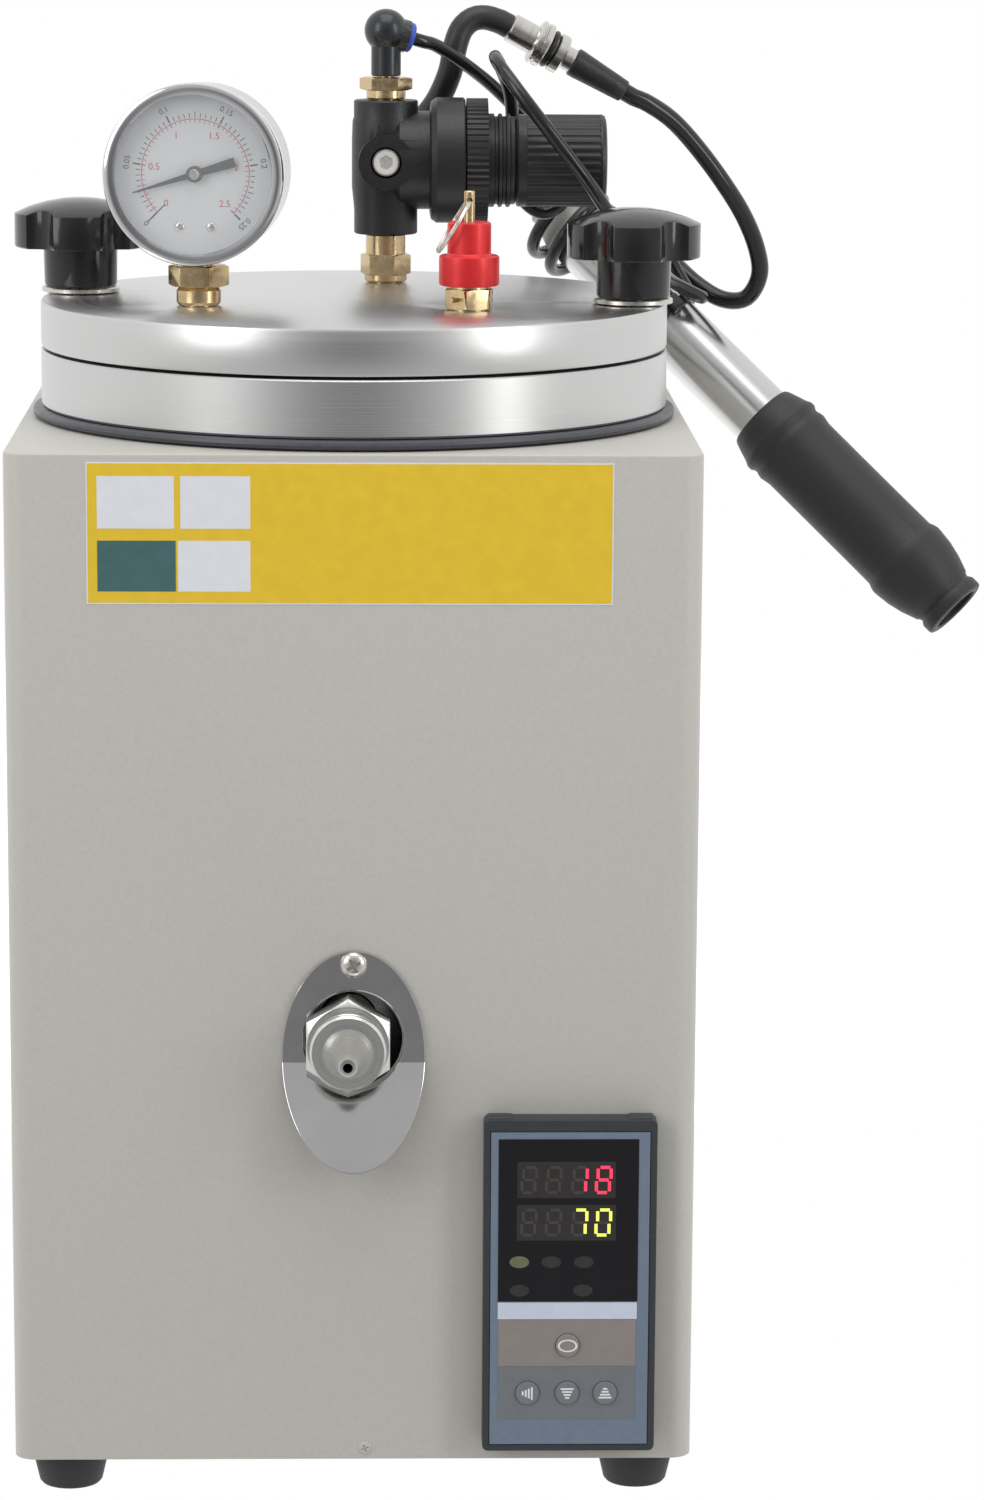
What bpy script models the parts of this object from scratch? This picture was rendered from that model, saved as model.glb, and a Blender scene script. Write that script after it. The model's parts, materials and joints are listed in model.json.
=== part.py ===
"""Hobby wax injector: a heated, pressurised wax pot in a sheet-metal case, fed by a small hand pump.

Everything is placed from the pot's vertical axis, with z = 0 at the soles of the feet. One empty moves
the whole object so that the world origin lies below the centre of its bounding box.
"""

import math

import bmesh
import bpy
from mathutils import Matrix, Vector

MM = 0.001
GAP = 0.3 * MM  # between pieces that touch
UP = Vector((0, 0, 1))
RIGHT = Vector((1, 0, 0))
FRONT, BACK = Vector((0, -1, 0)), Vector((0, 1, 0))

# Case
CASE_W, CASE_D, CASE_H = 190 * MM, 190 * MM, 284 * MM
SHEET = 1.2 * MM
CASE_BEND_R = 6 * MM
BACK_FLANGE = 27 * MM
BASE_T = 1.5 * MM

# Feet
FOOT_H, FOOT_TOP_R, FOOT_SOLE_R = 11 * MM, 11 * MM, 8.7 * MM
FOOT_INSET = 15 * MM

# Pot, lid and what seals them
TANK_R, TANK_WALL, TANK_FLOOR = 74 * MM, 5 * MM, 6 * MM
TANK_DEPTH = 184 * MM  # cup below the flange
BAND_RISE, INSULATION_T = 45.7 * MM, 13 * MM
FLANGE_R, FLANGE_H = 90 * MM, 16 * MM
BASE_SEAL_H = 2.7 * MM
LID_H, LID_SEAM = 13.1 * MM, 0.8 * MM
GASKET_IN_R, GASKET_OUT_R, GASKET_T = 70.8 * MM, 75.2 * MM, 1.8 * MM

# Star knobs and their threaded studs
KNOB_X, KNOB_Y = 79.5 * MM, 15 * MM
STUD_R, STUD_GRIP = 4 * MM, 13 * MM
HUB_R, HUB_H = 10.7 * MM, 11.2 * MM
STAR_R, STAR_LOBE, STAR_H, STAR_LOBES = 17 * MM, 2 * MM, 14.3 * MM, 5
WASHER_R, WASHER_T = 11.3 * MM, 1.5 * MM

# Injection nozzle and its guard
NOZZLE_X, NOZZLE_RISE = -1.5 * MM, 18.2 * MM  # above the cup's bottom
NOZZLE_SHANK_R, NOZZLE_HEX, NOZZLE_HEX_T = 8 * MM, 23 * MM, 7.5 * MM
NOZZLE_BORE_R, NOZZLE_TRAVEL = 5.5 * MM, 3 * MM
TIP_FLANGE_R, TIP_CONE_R, TIP_END_R, TIP_CONE_H = 10.5 * MM, 7 * MM, 2.75 * MM, 15.5 * MM
GUARD_W, GUARD_H, GUARD_DROP, GUARD_T = 39.5 * MM, 60 * MM, 4.9 * MM, 1 * MM
GUARD_HOLE_R, GUARD_BEND_DROP, GUARD_LEAN = 14 * MM, 6.5 * MM, math.radians(24)
GUARD_SCREW_RISE = 21.4 * MM

# Temperature controller
BEZEL_W, BEZEL_H, BEZEL_T = 48 * MM, 96 * MM, 7 * MM
BEZEL_X, BEZEL_Z = 60 * MM, 63.7 * MM
CTRL_W, CTRL_H, CTRL_DEPTH = 44.6 * MM, 91.4 * MM, 78 * MM
FACE_W, FACE_H, FACE_T, FACE_DROP = 44 * MM, 90 * MM, 1 * MM, 1 * MM
KEY_R, KEY_TRAVEL, KEY_STAND = 3.3 * MM, 0.5 * MM, 0.7 * MM
KEYS = {  # across and up from the middle of the face
    "key_set": (-0.4 * MM, -16.2 * MM),
    "key_left": (-11.5 * MM, -30 * MM),
    "key_down": (-0.4 * MM, -30 * MM),
    "key_up": (10.2 * MM, -30 * MM),
}

# Pressure gauge
GAUGE_X, GAUGE_Y, GAUGE_RISE = -44 * MM, -24 * MM, 37.3 * MM  # above the lid
GAUGE_R, GAUGE_BEZEL_R, GAUGE_DEPTH, GAUGE_TURN = 24.8 * MM, 25.5 * MM, 25 * MM, math.radians(7)
GAUGE_HEX, PIPE_R, PIPE_HOLE_R = 15 * MM, 4.7 * MM, 5 * MM
NEEDLE_L, NEEDLE_TAIL, NEEDLE_ANGLE = 18.5 * MM, 12 * MM, math.radians(197)

# Pressure regulator
REG_X, REG_Y, REG_RISE = 9.2 * MM, 50 * MM, 36.3 * MM  # above the lid
REG_COLUMN_R, REG_BELOW, REG_ABOVE, ELBOW_ABOVE = 9.5 * MM, 21.7 * MM, 17.7 * MM, 38 * MM
REG_NECK_R, REG_FLANGE_R, REG_CAVITY_R = 14.5 * MM, 18.5 * MM, 12.5 * MM
REG_FLANGE_X, REG_SEAM_X, REG_NUT_L = 22.3 * MM, 32.7 * MM, 6.5 * MM
REG_BONNET_R, REG_BONNET_L, REG_NECK_TUBE_R = 13.8 * MM, 14.6 * MM, 11.2 * MM
REG_KNOB_R, REG_KNOB_L, REG_PORT_R, REG_BOSS = 13.65 * MM, 26.6 * MM, 8.1 * MM, 14 * MM

# Safety valve
VALVE_X, VALVE_Y, VALVE_HEX = 32.2 * MM, -34 * MM, 12.7 * MM
VALVE_HEX_H, CAP_LOW_H, CAP_TOP_H = 6.2 * MM, 8.6 * MM, 9.2 * MM
CAP_LOW_R, CAP_TOP_R, VALVE_STEM_R = 8.5 * MM, 6.15 * MM, 1.5 * MM
VALVE_STEM_OUT = 8.7 * MM
RING_R, RING_WIRE_R, RING_HOLE_R, RING_LEAN = 8.4 * MM, 0.55 * MM, 0.85 * MM, math.radians(31.5)

# Hand pump, measured along its axis from the tip of its head
PUMP_FROM_CORNER = (-36.9, 33, 53)  # in mm from the case's right rear top corner
PUMP_TURN, PUMP_DROP = math.radians(25.3), math.radians(40.9)
PUMP_HEAD_L, PUMP_BARREL_R, PUMP_BARREL_WALL = 17.4 * MM, 10 * MM, 1.2 * MM
HEAD_BEAD_AT, HEAD_BEAD_R = 3 * MM, 7 * MM
PUMP_BARREL_L, PUMP_ROD_R, PISTON_L = 154 * MM, 3.5 * MM, 12 * MM
GRIP_START, GRIP_L, GRIP_R, GRIP_BUMP_R, GRIP_END_R = 99.7 * MM, 85.6 * MM, 13.1 * MM, 14 * MM, 10.6 * MM
CLAMP_AT, CLAMP_L, CLAMP_WALL = 42 * MM, 12 * MM, 2.5 * MM
STRAP_INSET, STRAP_W, STRAP_T, STRAP_HANG = 16 * MM, 18 * MM, 2 * MM, 40 * MM

# Air lines
GOOSE_R, HOSE_R, TUBE_R = 3.75 * MM, 2.7 * MM, 2 * MM
COUPLER_L, RELIEF_L = 21.5 * MM, 18 * MM
STRAIGHT = 3 * MM  # how far a line leaves its fitting before it bends
WRAP_TURNS, WRAP_START, WRAP_END = 1.75, 23 * MM, 9 * MM

# Mains inlet with its switch, on the back
INLET_X, INLET_Z = -40 * MM, 60 * MM
INLET_W, INLET_H, INLET_DEPTH, INLET_RIM = 27 * MM, 47 * MM, 25 * MM, 2.5 * MM
ROCKER_W, ROCKER_H, ROCKER_TILT = 12.4 * MM, 19 * MM, math.radians(6)

# Levels that follow
CASE_TOP = FOOT_H + CASE_H
FRONT_Y, BACK_Y = -CASE_D / 2, CASE_D / 2
FLANGE_LOW = CASE_TOP + GAP + BASE_SEAL_H + GAP
FLANGE_TOP = FLANGE_LOW + FLANGE_H
LID_LOW = FLANGE_TOP + LID_SEAM
LID_TOP = LID_LOW + LID_H
TANK_BOTTOM = FLANGE_LOW - TANK_DEPTH
NOZZLE_Z = TANK_BOTTOM + NOZZLE_RISE
GUARD_Z, GUARD_BEND_Z = NOZZLE_Z - GUARD_DROP, NOZZLE_Z - GUARD_BEND_DROP
GUARD_SCREW_Z = NOZZLE_Z + GUARD_SCREW_RISE
GAUGE_Z, REG_Z = LID_TOP + GAUGE_RISE, LID_TOP + REG_RISE
REG_BOTTOM, REG_TOP = REG_Z - REG_BELOW, REG_Z + REG_ABOVE
ELBOW_BALL = Vector((REG_X, REG_Y, REG_Z + ELBOW_ABOVE))
TANK_INNER_R = TANK_R - TANK_WALL
PANEL_Y = BACK_Y + GAP  # where plates on the case's back begin
CASE_CORNER = (CASE_W / 2, BACK_Y, CASE_TOP)
PUMP_TIP = Vector([near / MM + far for near, far in zip(CASE_CORNER, PUMP_FROM_CORNER)]) * MM
STRAP_X, STRAP_LOW = CASE_W / 2 - STRAP_INSET, CASE_TOP - STRAP_HANG
PUMP_AXIS = Vector((
    math.cos(PUMP_TURN) * math.cos(PUMP_DROP),
    -math.sin(PUMP_TURN) * math.cos(PUMP_DROP),
    -math.sin(PUMP_DROP),
))
PUMP_UP = (UP - PUMP_AXIS * PUMP_AXIS.z).normalized()
PUMP_SIDE = PUMP_UP.cross(PUMP_AXIS)
PUMP_END = PUMP_TIP + PUMP_AXIS * (GRIP_START + GRIP_L)
GAUGE_FACING = Vector((-math.sin(GAUGE_TURN), -math.cos(GAUGE_TURN), 0))

# The bounding box, which sets where the object stands
REACH_LEFT = -KNOB_X - STAR_R - STAR_LOBE
REACH_RIGHT = PUMP_END.x + GRIP_END_R * math.hypot(PUMP_AXIS.y, PUMP_AXIS.z)
REACH_FRONT = FRONT_Y - 33.6 * MM
REACH_BACK = PUMP_TIP.y + HEAD_BEAD_AT * PUMP_AXIS.y + HEAD_BEAD_R * math.hypot(PUMP_AXIS.x, PUMP_AXIS.z)
STAND = Vector((-(REACH_LEFT + REACH_RIGHT) / 2, -(REACH_FRONT + REACH_BACK) / 2, 0))


# Scene and helpers


def clear_scene():
    for obj in list(bpy.data.objects):
        bpy.data.objects.remove(obj, do_unlink=True)


def new_collection(name):
    made = bpy.data.collections.new(name)
    bpy.context.scene.collection.children.link(made)
    return made


clear_scene()
PARTS = new_collection("wax_injector")
CUTTERS = new_collection("cutters")


def empty(name, at, turn=None, parent=None):
    made = bpy.data.objects.new(name, None)
    PARTS.objects.link(made)
    made.parent = parent
    made.matrix_basis = Matrix.Translation(at) @ (turn or Matrix()).to_4x4()
    return made


ROOT = empty("stand_centre", STAND)
PUMP = empty("pump_axis", PUMP_TIP, Matrix((PUMP_SIDE, PUMP_UP, PUMP_AXIS)).transposed(), ROOT)
GAUGE_UP = UP
GAUGE_SIDE = GAUGE_UP.cross(GAUGE_FACING)
GAUGE = empty(
    "gauge_axis",
    (GAUGE_X, GAUGE_Y, GAUGE_Z),
    Matrix((GAUGE_SIDE, GAUGE_UP, GAUGE_FACING)).transposed(),
    ROOT,
)


def material(name, colour, roughness, metallic=0.0):
    made = bpy.data.materials.new(name)
    made.use_nodes = True
    shader = made.node_tree.nodes["Principled BSDF"]
    shader.inputs["Base Color"].default_value = (*colour, 1)
    shader.inputs["Roughness"].default_value = roughness
    shader.inputs["Metallic"].default_value = metallic
    return made


POWDER_COAT = material("powder_coat", (0.48, 0.46, 0.42), 0.55)
ALUMINIUM = material("turned_aluminium", (0.62, 0.62, 0.61), 0.32, 1)
STEEL = material("stainless_steel", (0.66, 0.65, 0.64), 0.2, 1)
CHROME = material("chromed_steel", (0.75, 0.75, 0.76), 0.12, 1)
BRASS = material("brass", (0.66, 0.5, 0.27), 0.3, 1)
BLACK_GLOSS = material("black_phenolic", (0.012, 0.012, 0.013), 0.15)
BLACK_MATTE = material("black_nylon", (0.02, 0.02, 0.022), 0.5)
BLACK_RUBBER = material("black_rubber", (0.018, 0.018, 0.019), 0.7)
GREY_RUBBER = material("grey_rubber", (0.09, 0.095, 0.11), 0.6)
RED_CAP = material("red_anodised", (0.7, 0.03, 0.03), 0.35)
SILICONE = material("red_silicone", (0.45, 0.1, 0.06), 0.6)
GLASS_WOOL = material("glass_wool", (0.75, 0.72, 0.62), 0.95)
WHITE_DIAL = material("dial_white", (0.78, 0.79, 0.8), 0.45)
GLASS = material("clear_glass", (0.9, 0.93, 0.95), 0.05)
BEZEL_GREY = material("bezel_grey", (0.07, 0.08, 0.09), 0.5)
FACE_BLUE = material("face_blue_grey", (0.22, 0.3, 0.38), 0.4)
KEY_GREY = material("key_grey", (0.3, 0.33, 0.36), 0.5)
PUMP_GREY = material("pump_head_grey", (0.55, 0.55, 0.53), 0.5)


def finish(obj, name, look, at, along, parent):
    obj.name = name
    PARTS.objects.link(obj)
    obj.data.materials.append(look)
    obj.parent = parent or ROOT
    obj.rotation_mode = "QUATERNION"
    obj.rotation_quaternion = UP.rotation_difference(Vector(along))
    obj.location = at
    return obj


def from_bmesh(bm, name, look, at=(0, 0, 0), along=UP, parent=None):
    mesh = bpy.data.meshes.new(name)
    bm.to_mesh(mesh)
    bm.free()
    return finish(bpy.data.objects.new(name, mesh), name, look, at, along, parent)


def smooth(obj, angle=35):
    obj.data.shade_smooth()
    obj.data.set_sharp_from_angle(angle=math.radians(angle))
    return obj


def box(name, look, low, high, parent=None, corner=0.0, steps=3):
    """A box between two corners. corner rounds its edges."""
    low, high = Vector(low), Vector(high)
    bm = bmesh.new()
    bmesh.ops.create_cube(bm, size=1)
    bmesh.ops.scale(bm, vec=high - low, verts=bm.verts)
    made = from_bmesh(bm, name, look, (low + high) / 2, UP, parent)
    if corner:
        rounded = made.modifiers.new("edges", "BEVEL")
        rounded.width, rounded.segments = corner, steps
    return made


def upright_box(name, look, low, high, corner, along="z", steps=3):
    """A box whose four edges along one axis are rounded."""
    low, high = Vector(low), Vector(high)
    bm = bmesh.new()
    bmesh.ops.create_cube(bm, size=1)
    bmesh.ops.scale(bm, vec=high - low, verts=bm.verts)
    axis = "xyz".index(along)
    edges = [e for e in bm.edges if abs((e.verts[0].co - e.verts[1].co).normalized()[axis]) > 0.9]
    bmesh.ops.bevel(bm, geom=edges, offset=corner, segments=steps, affect="EDGES", profile=0.5)
    return from_bmesh(bm, name, look, (low + high) / 2)


def turned(name, look, profile, at=(0, 0, 0), along=UP, parent=None, steps=20):
    """A turned piece. The profile is (radius, height) down the outer side; the last may repeat the first."""
    ring = profile[0] == profile[-1]
    points = profile[:-1] if ring else profile
    mesh = bpy.data.meshes.new(name)
    edges = [(i, i + 1) for i in range(len(points) - 1)] + ([(len(points) - 1, 0)] if ring else [])
    mesh.from_pydata([(r, 0, z) for r, z in points], edges, [])
    made = finish(bpy.data.objects.new(name, mesh), name, look, at, along, parent)
    screw = made.modifiers.new("turn", "SCREW")
    screw.axis, screw.angle = "Z", 2 * math.pi
    screw.steps = screw.render_steps = steps
    screw.use_merge_vertices, screw.merge_threshold = True, 1e-6
    screw.use_smooth_shade = True
    return made


def rod(name, look, radius, low, high, at=(0, 0, 0), along=UP, parent=None, sides=24):
    """A cylinder, or a prism with few sides, from low to high along its axis."""
    bm = bmesh.new()
    bmesh.ops.create_cone(
        bm, cap_ends=True, segments=sides, radius1=radius, radius2=radius, depth=high - low
    )
    bmesh.ops.translate(bm, verts=bm.verts, vec=(0, 0, (low + high) / 2))
    made = from_bmesh(bm, name, look, at, along, parent)
    return smooth(made) if sides > 6 else made


def hexagon(name, look, across_flats, low, high, at=(0, 0, 0), along=UP, parent=None):
    return rod(name, look, across_flats / math.sqrt(3), low, high, at, along, parent, sides=6)


def tube(name, look, points, radius, parent=None, closed=False, resolution=2):
    data = bpy.data.curves.new(name, "CURVE")
    data.dimensions = "3D"
    line = data.splines.new("POLY")
    line.points.add(len(points) - 1)
    for spot, point in zip(line.points, points):
        spot.co = (*point, 1)
    line.use_cyclic_u = closed
    data.bevel_depth, data.bevel_resolution = radius, resolution
    data.use_fill_caps = not closed
    return finish(bpy.data.objects.new(name, data), name, look, (0, 0, 0), UP, parent)


def as_mesh(obj):
    """The mesh object made from a curve object, with its caps welded."""
    bpy.context.view_layer.update()
    graph = bpy.context.evaluated_depsgraph_get()
    mesh = bpy.data.meshes.new_from_object(obj.evaluated_get(graph))
    bm = bmesh.new()
    bm.from_mesh(mesh)
    bmesh.ops.remove_doubles(bm, verts=bm.verts, dist=1e-6)
    bm.to_mesh(mesh)
    bm.free()
    name, parent, place = obj.name, obj.parent, obj.matrix_basis.copy()
    bpy.data.objects.remove(obj)
    made = bpy.data.objects.new(name, mesh)
    PARTS.objects.link(made)
    made.parent, made.matrix_basis = parent, place
    return made


def boolean(obj, operation, tool):
    PARTS.objects.unlink(tool)
    CUTTERS.objects.link(tool)
    tool.hide_render, tool.display_type = True, "WIRE"
    change = obj.modifiers.new(tool.name, "BOOLEAN")
    change.operation, change.object, change.solver = operation, tool, "EXACT"


def cut(obj, *tools):
    for tool in tools:
        boolean(obj, "DIFFERENCE", tool)
    return obj


def join(obj, *tools):
    for tool in tools:
        boolean(obj, "UNION", tool)
    return obj


def hole(obj, radius, start, end, sides=24, parent=None):
    """Drills obj from start to end."""
    start, end = Vector(start), Vector(end)
    tool = rod(
        obj.name + "_drill", STEEL, radius, 0, (end - start).length, start, end - start, parent, sides
    )
    return cut(obj, tool)


def spline(points, step):
    """Points about a step apart on a smooth curve through a route's points."""
    points = [Vector(p) for p in points]
    ends = [2 * points[0] - points[1], *points, 2 * points[-1] - points[-2]]
    fine = []
    for a, b, c, d in zip(ends, ends[1:], ends[2:], ends[3:]):
        for k in range(12):
            t = k / 12
            fine.append(
                0.5 * (2 * b + (c - a) * t + (2 * a - 5 * b + 4 * c - d) * t**2
                       + (3 * b - a - 3 * c + d) * t**3)
            )
    fine.append(points[-1])
    total = sum((q - p).length for p, q in zip(fine, fine[1:]))
    count = max(2, round(total / step))
    wanted, found, gone = [total * k / count for k in range(1, count)], [fine[0]], 0.0
    for p, q in zip(fine, fine[1:]):
        length = (q - p).length
        while wanted and wanted[0] <= gone + length:
            found.append(p.lerp(q, (wanted.pop(0) - gone) / length))
        gone += length
    found.append(fine[-1])
    return found


def on_pump(along, side=0.0, up=0.0):
    """A point given along the pump's axis, to its back side and above it."""
    return PUMP_TIP + PUMP_AXIS * along + PUMP_SIDE * side + PUMP_UP * up


# Case


def make_case():
    low, high = Vector((-CASE_W / 2, FRONT_Y, FOOT_H)), Vector((CASE_W / 2, BACK_Y, CASE_TOP))
    body = upright_box("case_body", POWDER_COAT, low, high, CASE_BEND_R)
    inset = Vector((SHEET, SHEET, 0))
    inside = upright_box(
        "case_hollow", STEEL, low + inset - UP * 10 * MM, high - inset - UP * SHEET, CASE_BEND_R - SHEET
    )
    half = CASE_W / 2 - BACK_FLANGE
    window = box(
        "case_window",
        STEEL,
        (-half + 8 * MM, BACK_Y - 5 * MM, FOOT_H + 20 * MM),
        (half - 8 * MM, BACK_Y + 5 * MM, CASE_TOP - 20 * MM),
    )
    cutout = (BEZEL_X, FRONT_Y, BEZEL_Z)
    panel_hole = box(
        "case_panel_hole",
        STEEL,
        (cutout[0] - CTRL_W / 2 - GAP, FRONT_Y - 5 * MM, cutout[2] - CTRL_H / 2 - GAP),
        (cutout[0] + CTRL_W / 2 + GAP, FRONT_Y + 5 * MM, cutout[2] + CTRL_H / 2 + GAP),
    )
    cut(body, inside, window, panel_hole)
    hole(body, TANK_R + 2 * MM, (0, 0, CASE_TOP - 8 * MM), (0, 0, CASE_TOP + 8 * MM), 40)
    hole(body, GUARD_HOLE_R - 0.5 * MM, (0, FRONT_Y - 8 * MM, NOZZLE_Z), (0, FRONT_Y + 8 * MM, NOZZLE_Z), 32)
    hole(
        body, 1.8 * MM, (0, FRONT_Y - 8 * MM, GUARD_SCREW_Z), (0, FRONT_Y + 8 * MM, GUARD_SCREW_Z), 12
    )
    panel = upright_box(
        "back_panel",
        POWDER_COAT,
        (-half, PANEL_Y, FOOT_H + 10 * MM),
        (half, PANEL_Y + SHEET, CASE_TOP - 10 * MM),
        4 * MM,
        "y",
    )
    cut(
        panel,
        box(
            "inlet_hole",
            STEEL,
            (INLET_X - INLET_W / 2 - GAP, BACK_Y - 5 * MM, INLET_Z - INLET_H / 2 - GAP),
            (INLET_X + INLET_W / 2 + GAP, BACK_Y + 9 * MM, INLET_Z + INLET_H / 2 + GAP),
        ),
    )
    inner = SHEET + GAP
    upright_box(
        "base_plate",
        POWDER_COAT,
        (-CASE_W / 2 + inner, FRONT_Y + inner, FOOT_H),
        (CASE_W / 2 - inner, BACK_Y - inner, FOOT_H + BASE_T),
        CASE_BEND_R - inner,
    )


def make_feet():
    top = FOOT_H - GAP
    sole_edge = 1 * MM
    for end, y in (("front", FRONT_Y + FOOT_INSET), ("rear", BACK_Y - FOOT_INSET)):
        for side, x in (("left", -CASE_W / 2 + FOOT_INSET), ("right", CASE_W / 2 - FOOT_INSET)):
            profile = [
                (0, top),
                (FOOT_TOP_R - sole_edge, top),
                (FOOT_TOP_R, top - sole_edge),
                (FOOT_SOLE_R, sole_edge),
                (FOOT_SOLE_R - sole_edge, 0),
                (4.5 * MM, 0),
                (4.5 * MM, 5 * MM),
                (0, 5 * MM),
            ]
            turned(f"foot_{end}_{side}", BLACK_RUBBER, profile, (x, y, 0), steps=16)


# Pot


def ring(name, look, inner, outer, low, high, steps=36, edge=0.0, parent=None, at=(0, 0, 0), along=UP):
    profile = [(inner, high), (outer - edge, high), (outer, high - edge), (outer, low + edge)]
    if not edge:
        profile = [(inner, high), (outer, high)]
    profile += [(outer - edge, low), (inner, low), (inner, high)]
    return turned(name, look, profile, at, along, parent, steps)


def knob_places():
    return {"left": Vector((-KNOB_X, KNOB_Y, 0)), "right": Vector((KNOB_X, -KNOB_Y, 0))}


def make_pot():
    ring(
        "base_seal_ring", GREY_RUBBER, TANK_R + 4 * MM, FLANGE_R + 2.5 * MM,
        CASE_TOP + GAP, FLANGE_LOW - GAP, 40, 0.9 * MM,
    )
    groove_low = FLANGE_TOP - 1.6 * MM
    floor = TANK_BOTTOM + TANK_FLOOR
    edge = 0.6 * MM
    tank = turned(
        "tank",
        ALUMINIUM,
        [
            (0, floor),
            (TANK_INNER_R, floor),
            (TANK_INNER_R, FLANGE_TOP),
            (GASKET_IN_R - GAP, FLANGE_TOP),
            (GASKET_IN_R - GAP, groove_low),
            (GASKET_OUT_R + GAP, groove_low),
            (GASKET_OUT_R + GAP, FLANGE_TOP),
            (FLANGE_R - edge, FLANGE_TOP),
            (FLANGE_R, FLANGE_TOP - edge),
            (FLANGE_R, FLANGE_LOW),
            (TANK_R, FLANGE_LOW),
            (TANK_R, TANK_BOTTOM),
            (0, TANK_BOTTOM),
        ],
        steps=36,
    )
    for place in knob_places().values():
        low, high = UP * (FLANGE_TOP - STUD_GRIP - 1 * MM), UP * (FLANGE_TOP + 9 * MM)
        hole(tank, STUD_R + GAP, place + low, place + high, 16)
    nozzle = Vector((NOZZLE_X, 0, NOZZLE_Z))
    hole(
        tank, NOZZLE_SHANK_R + GAP, nozzle + FRONT * (TANK_R - 20 * MM),
        nozzle + FRONT * (TANK_R + 9 * MM), 24,
    )
    hole(tank, 2.8 * MM, (30 * MM, 0, TANK_BOTTOM - 5 * MM), (30 * MM, 0, TANK_BOTTOM + 4.2 * MM), 12)
    gasket_low = groove_low + GAP
    ring("lid_gasket", SILICONE, GASKET_IN_R, GASKET_OUT_R, gasket_low, gasket_low + GASKET_T)
    band_low = TANK_BOTTOM + BAND_RISE
    ring("heater_band", STEEL, TANK_R + GAP, TANK_R + 3 * MM, band_low, band_low + 80 * MM)
    ring(
        "insulation_wrap", GLASS_WOOL, TANK_R + 3 * MM + GAP, TANK_R + 3 * MM + INSULATION_T,
        band_low - 12 * MM, band_low + 125 * MM,
    )
    turned(
        "thermocouple",
        STEEL,
        [
            (0, TANK_BOTTOM + 3.9 * MM),
            (2.5 * MM, TANK_BOTTOM + 3.9 * MM),
            (2.5 * MM, TANK_BOTTOM - GAP),
            (5 * MM, TANK_BOTTOM - GAP),
            (5 * MM, TANK_BOTTOM - 5 * MM),
            (2.5 * MM, TANK_BOTTOM - 5 * MM),
            (2.5 * MM, TANK_BOTTOM - 28 * MM),
            (0, TANK_BOTTOM - 28 * MM),
        ],
        (30 * MM, 0, 0),
        steps=16,
    )


def make_lid():
    edge = 0.8 * MM
    lid = turned(
        "lid",
        ALUMINIUM,
        [
            (0, LID_TOP),
            (FLANGE_R - edge, LID_TOP),
            (FLANGE_R, LID_TOP - edge),
            (FLANGE_R, LID_LOW + edge),
            (FLANGE_R - edge, LID_LOW),
            (0, LID_LOW),
        ],
        steps=36,
    )
    holes = [(place, STUD_R + GAP) for place in knob_places().values()]
    holes += [(Vector((GAUGE_X, GAUGE_Y, 0)), PIPE_HOLE_R), (Vector((REG_X, REG_Y, 0)), PIPE_HOLE_R)]
    holes += [(Vector((VALVE_X, VALVE_Y, 0)), PIPE_HOLE_R)]
    for place, radius in holes:
        hole(lid, radius, place + UP * (LID_LOW - 6 * MM), place + UP * (LID_TOP + 6 * MM), 16)


def make_star_knobs():
    washer_low = LID_TOP + GAP
    hub_low = washer_low + WASHER_T + GAP
    star_low = hub_low + HUB_H
    bore_top = hub_low + 14 * MM
    for side, place in knob_places().items():
        turned(
            f"knob_stud_{side}",
            STEEL,
            [
                (0, bore_top - GAP),
                (STUD_R, bore_top - GAP),
                (STUD_R, washer_low + WASHER_T),
                (WASHER_R, washer_low + WASHER_T),
                (WASHER_R, washer_low),
                (STUD_R, washer_low),
                (STUD_R, FLANGE_TOP - STUD_GRIP),
                (0, FLANGE_TOP - STUD_GRIP),
            ],
            place,
            steps=16,
        )
        around = STAR_LOBES * 8
        knob = rod(f"star_knob_{side}", BLACK_GLOSS, STAR_R, star_low, star_low + STAR_H, place, sides=around)
        for vert in knob.data.vertices:
            angle = math.atan2(vert.co.y, vert.co.x)
            groove = math.sin(STAR_LOBES * (angle + math.pi / 2) / 2) ** 6
            reach = 1 + STAR_LOBE / STAR_R * (1 - 2 * groove)
            vert.co.x *= reach
            vert.co.y *= reach
        rounded = knob.modifiers.new("rim", "BEVEL")
        rounded.width, rounded.segments, rounded.limit_method = 1.5 * MM, 1, "ANGLE"
        rounded.angle_limit = math.radians(60)
        join(knob, rod("knob_hub", STEEL, HUB_R, hub_low, star_low + 3 * MM, place, sides=20))
        hole(knob, STUD_R + GAP, place + UP * (hub_low - 5 * MM), place + UP * bore_top, 20)


# Nozzle


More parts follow.
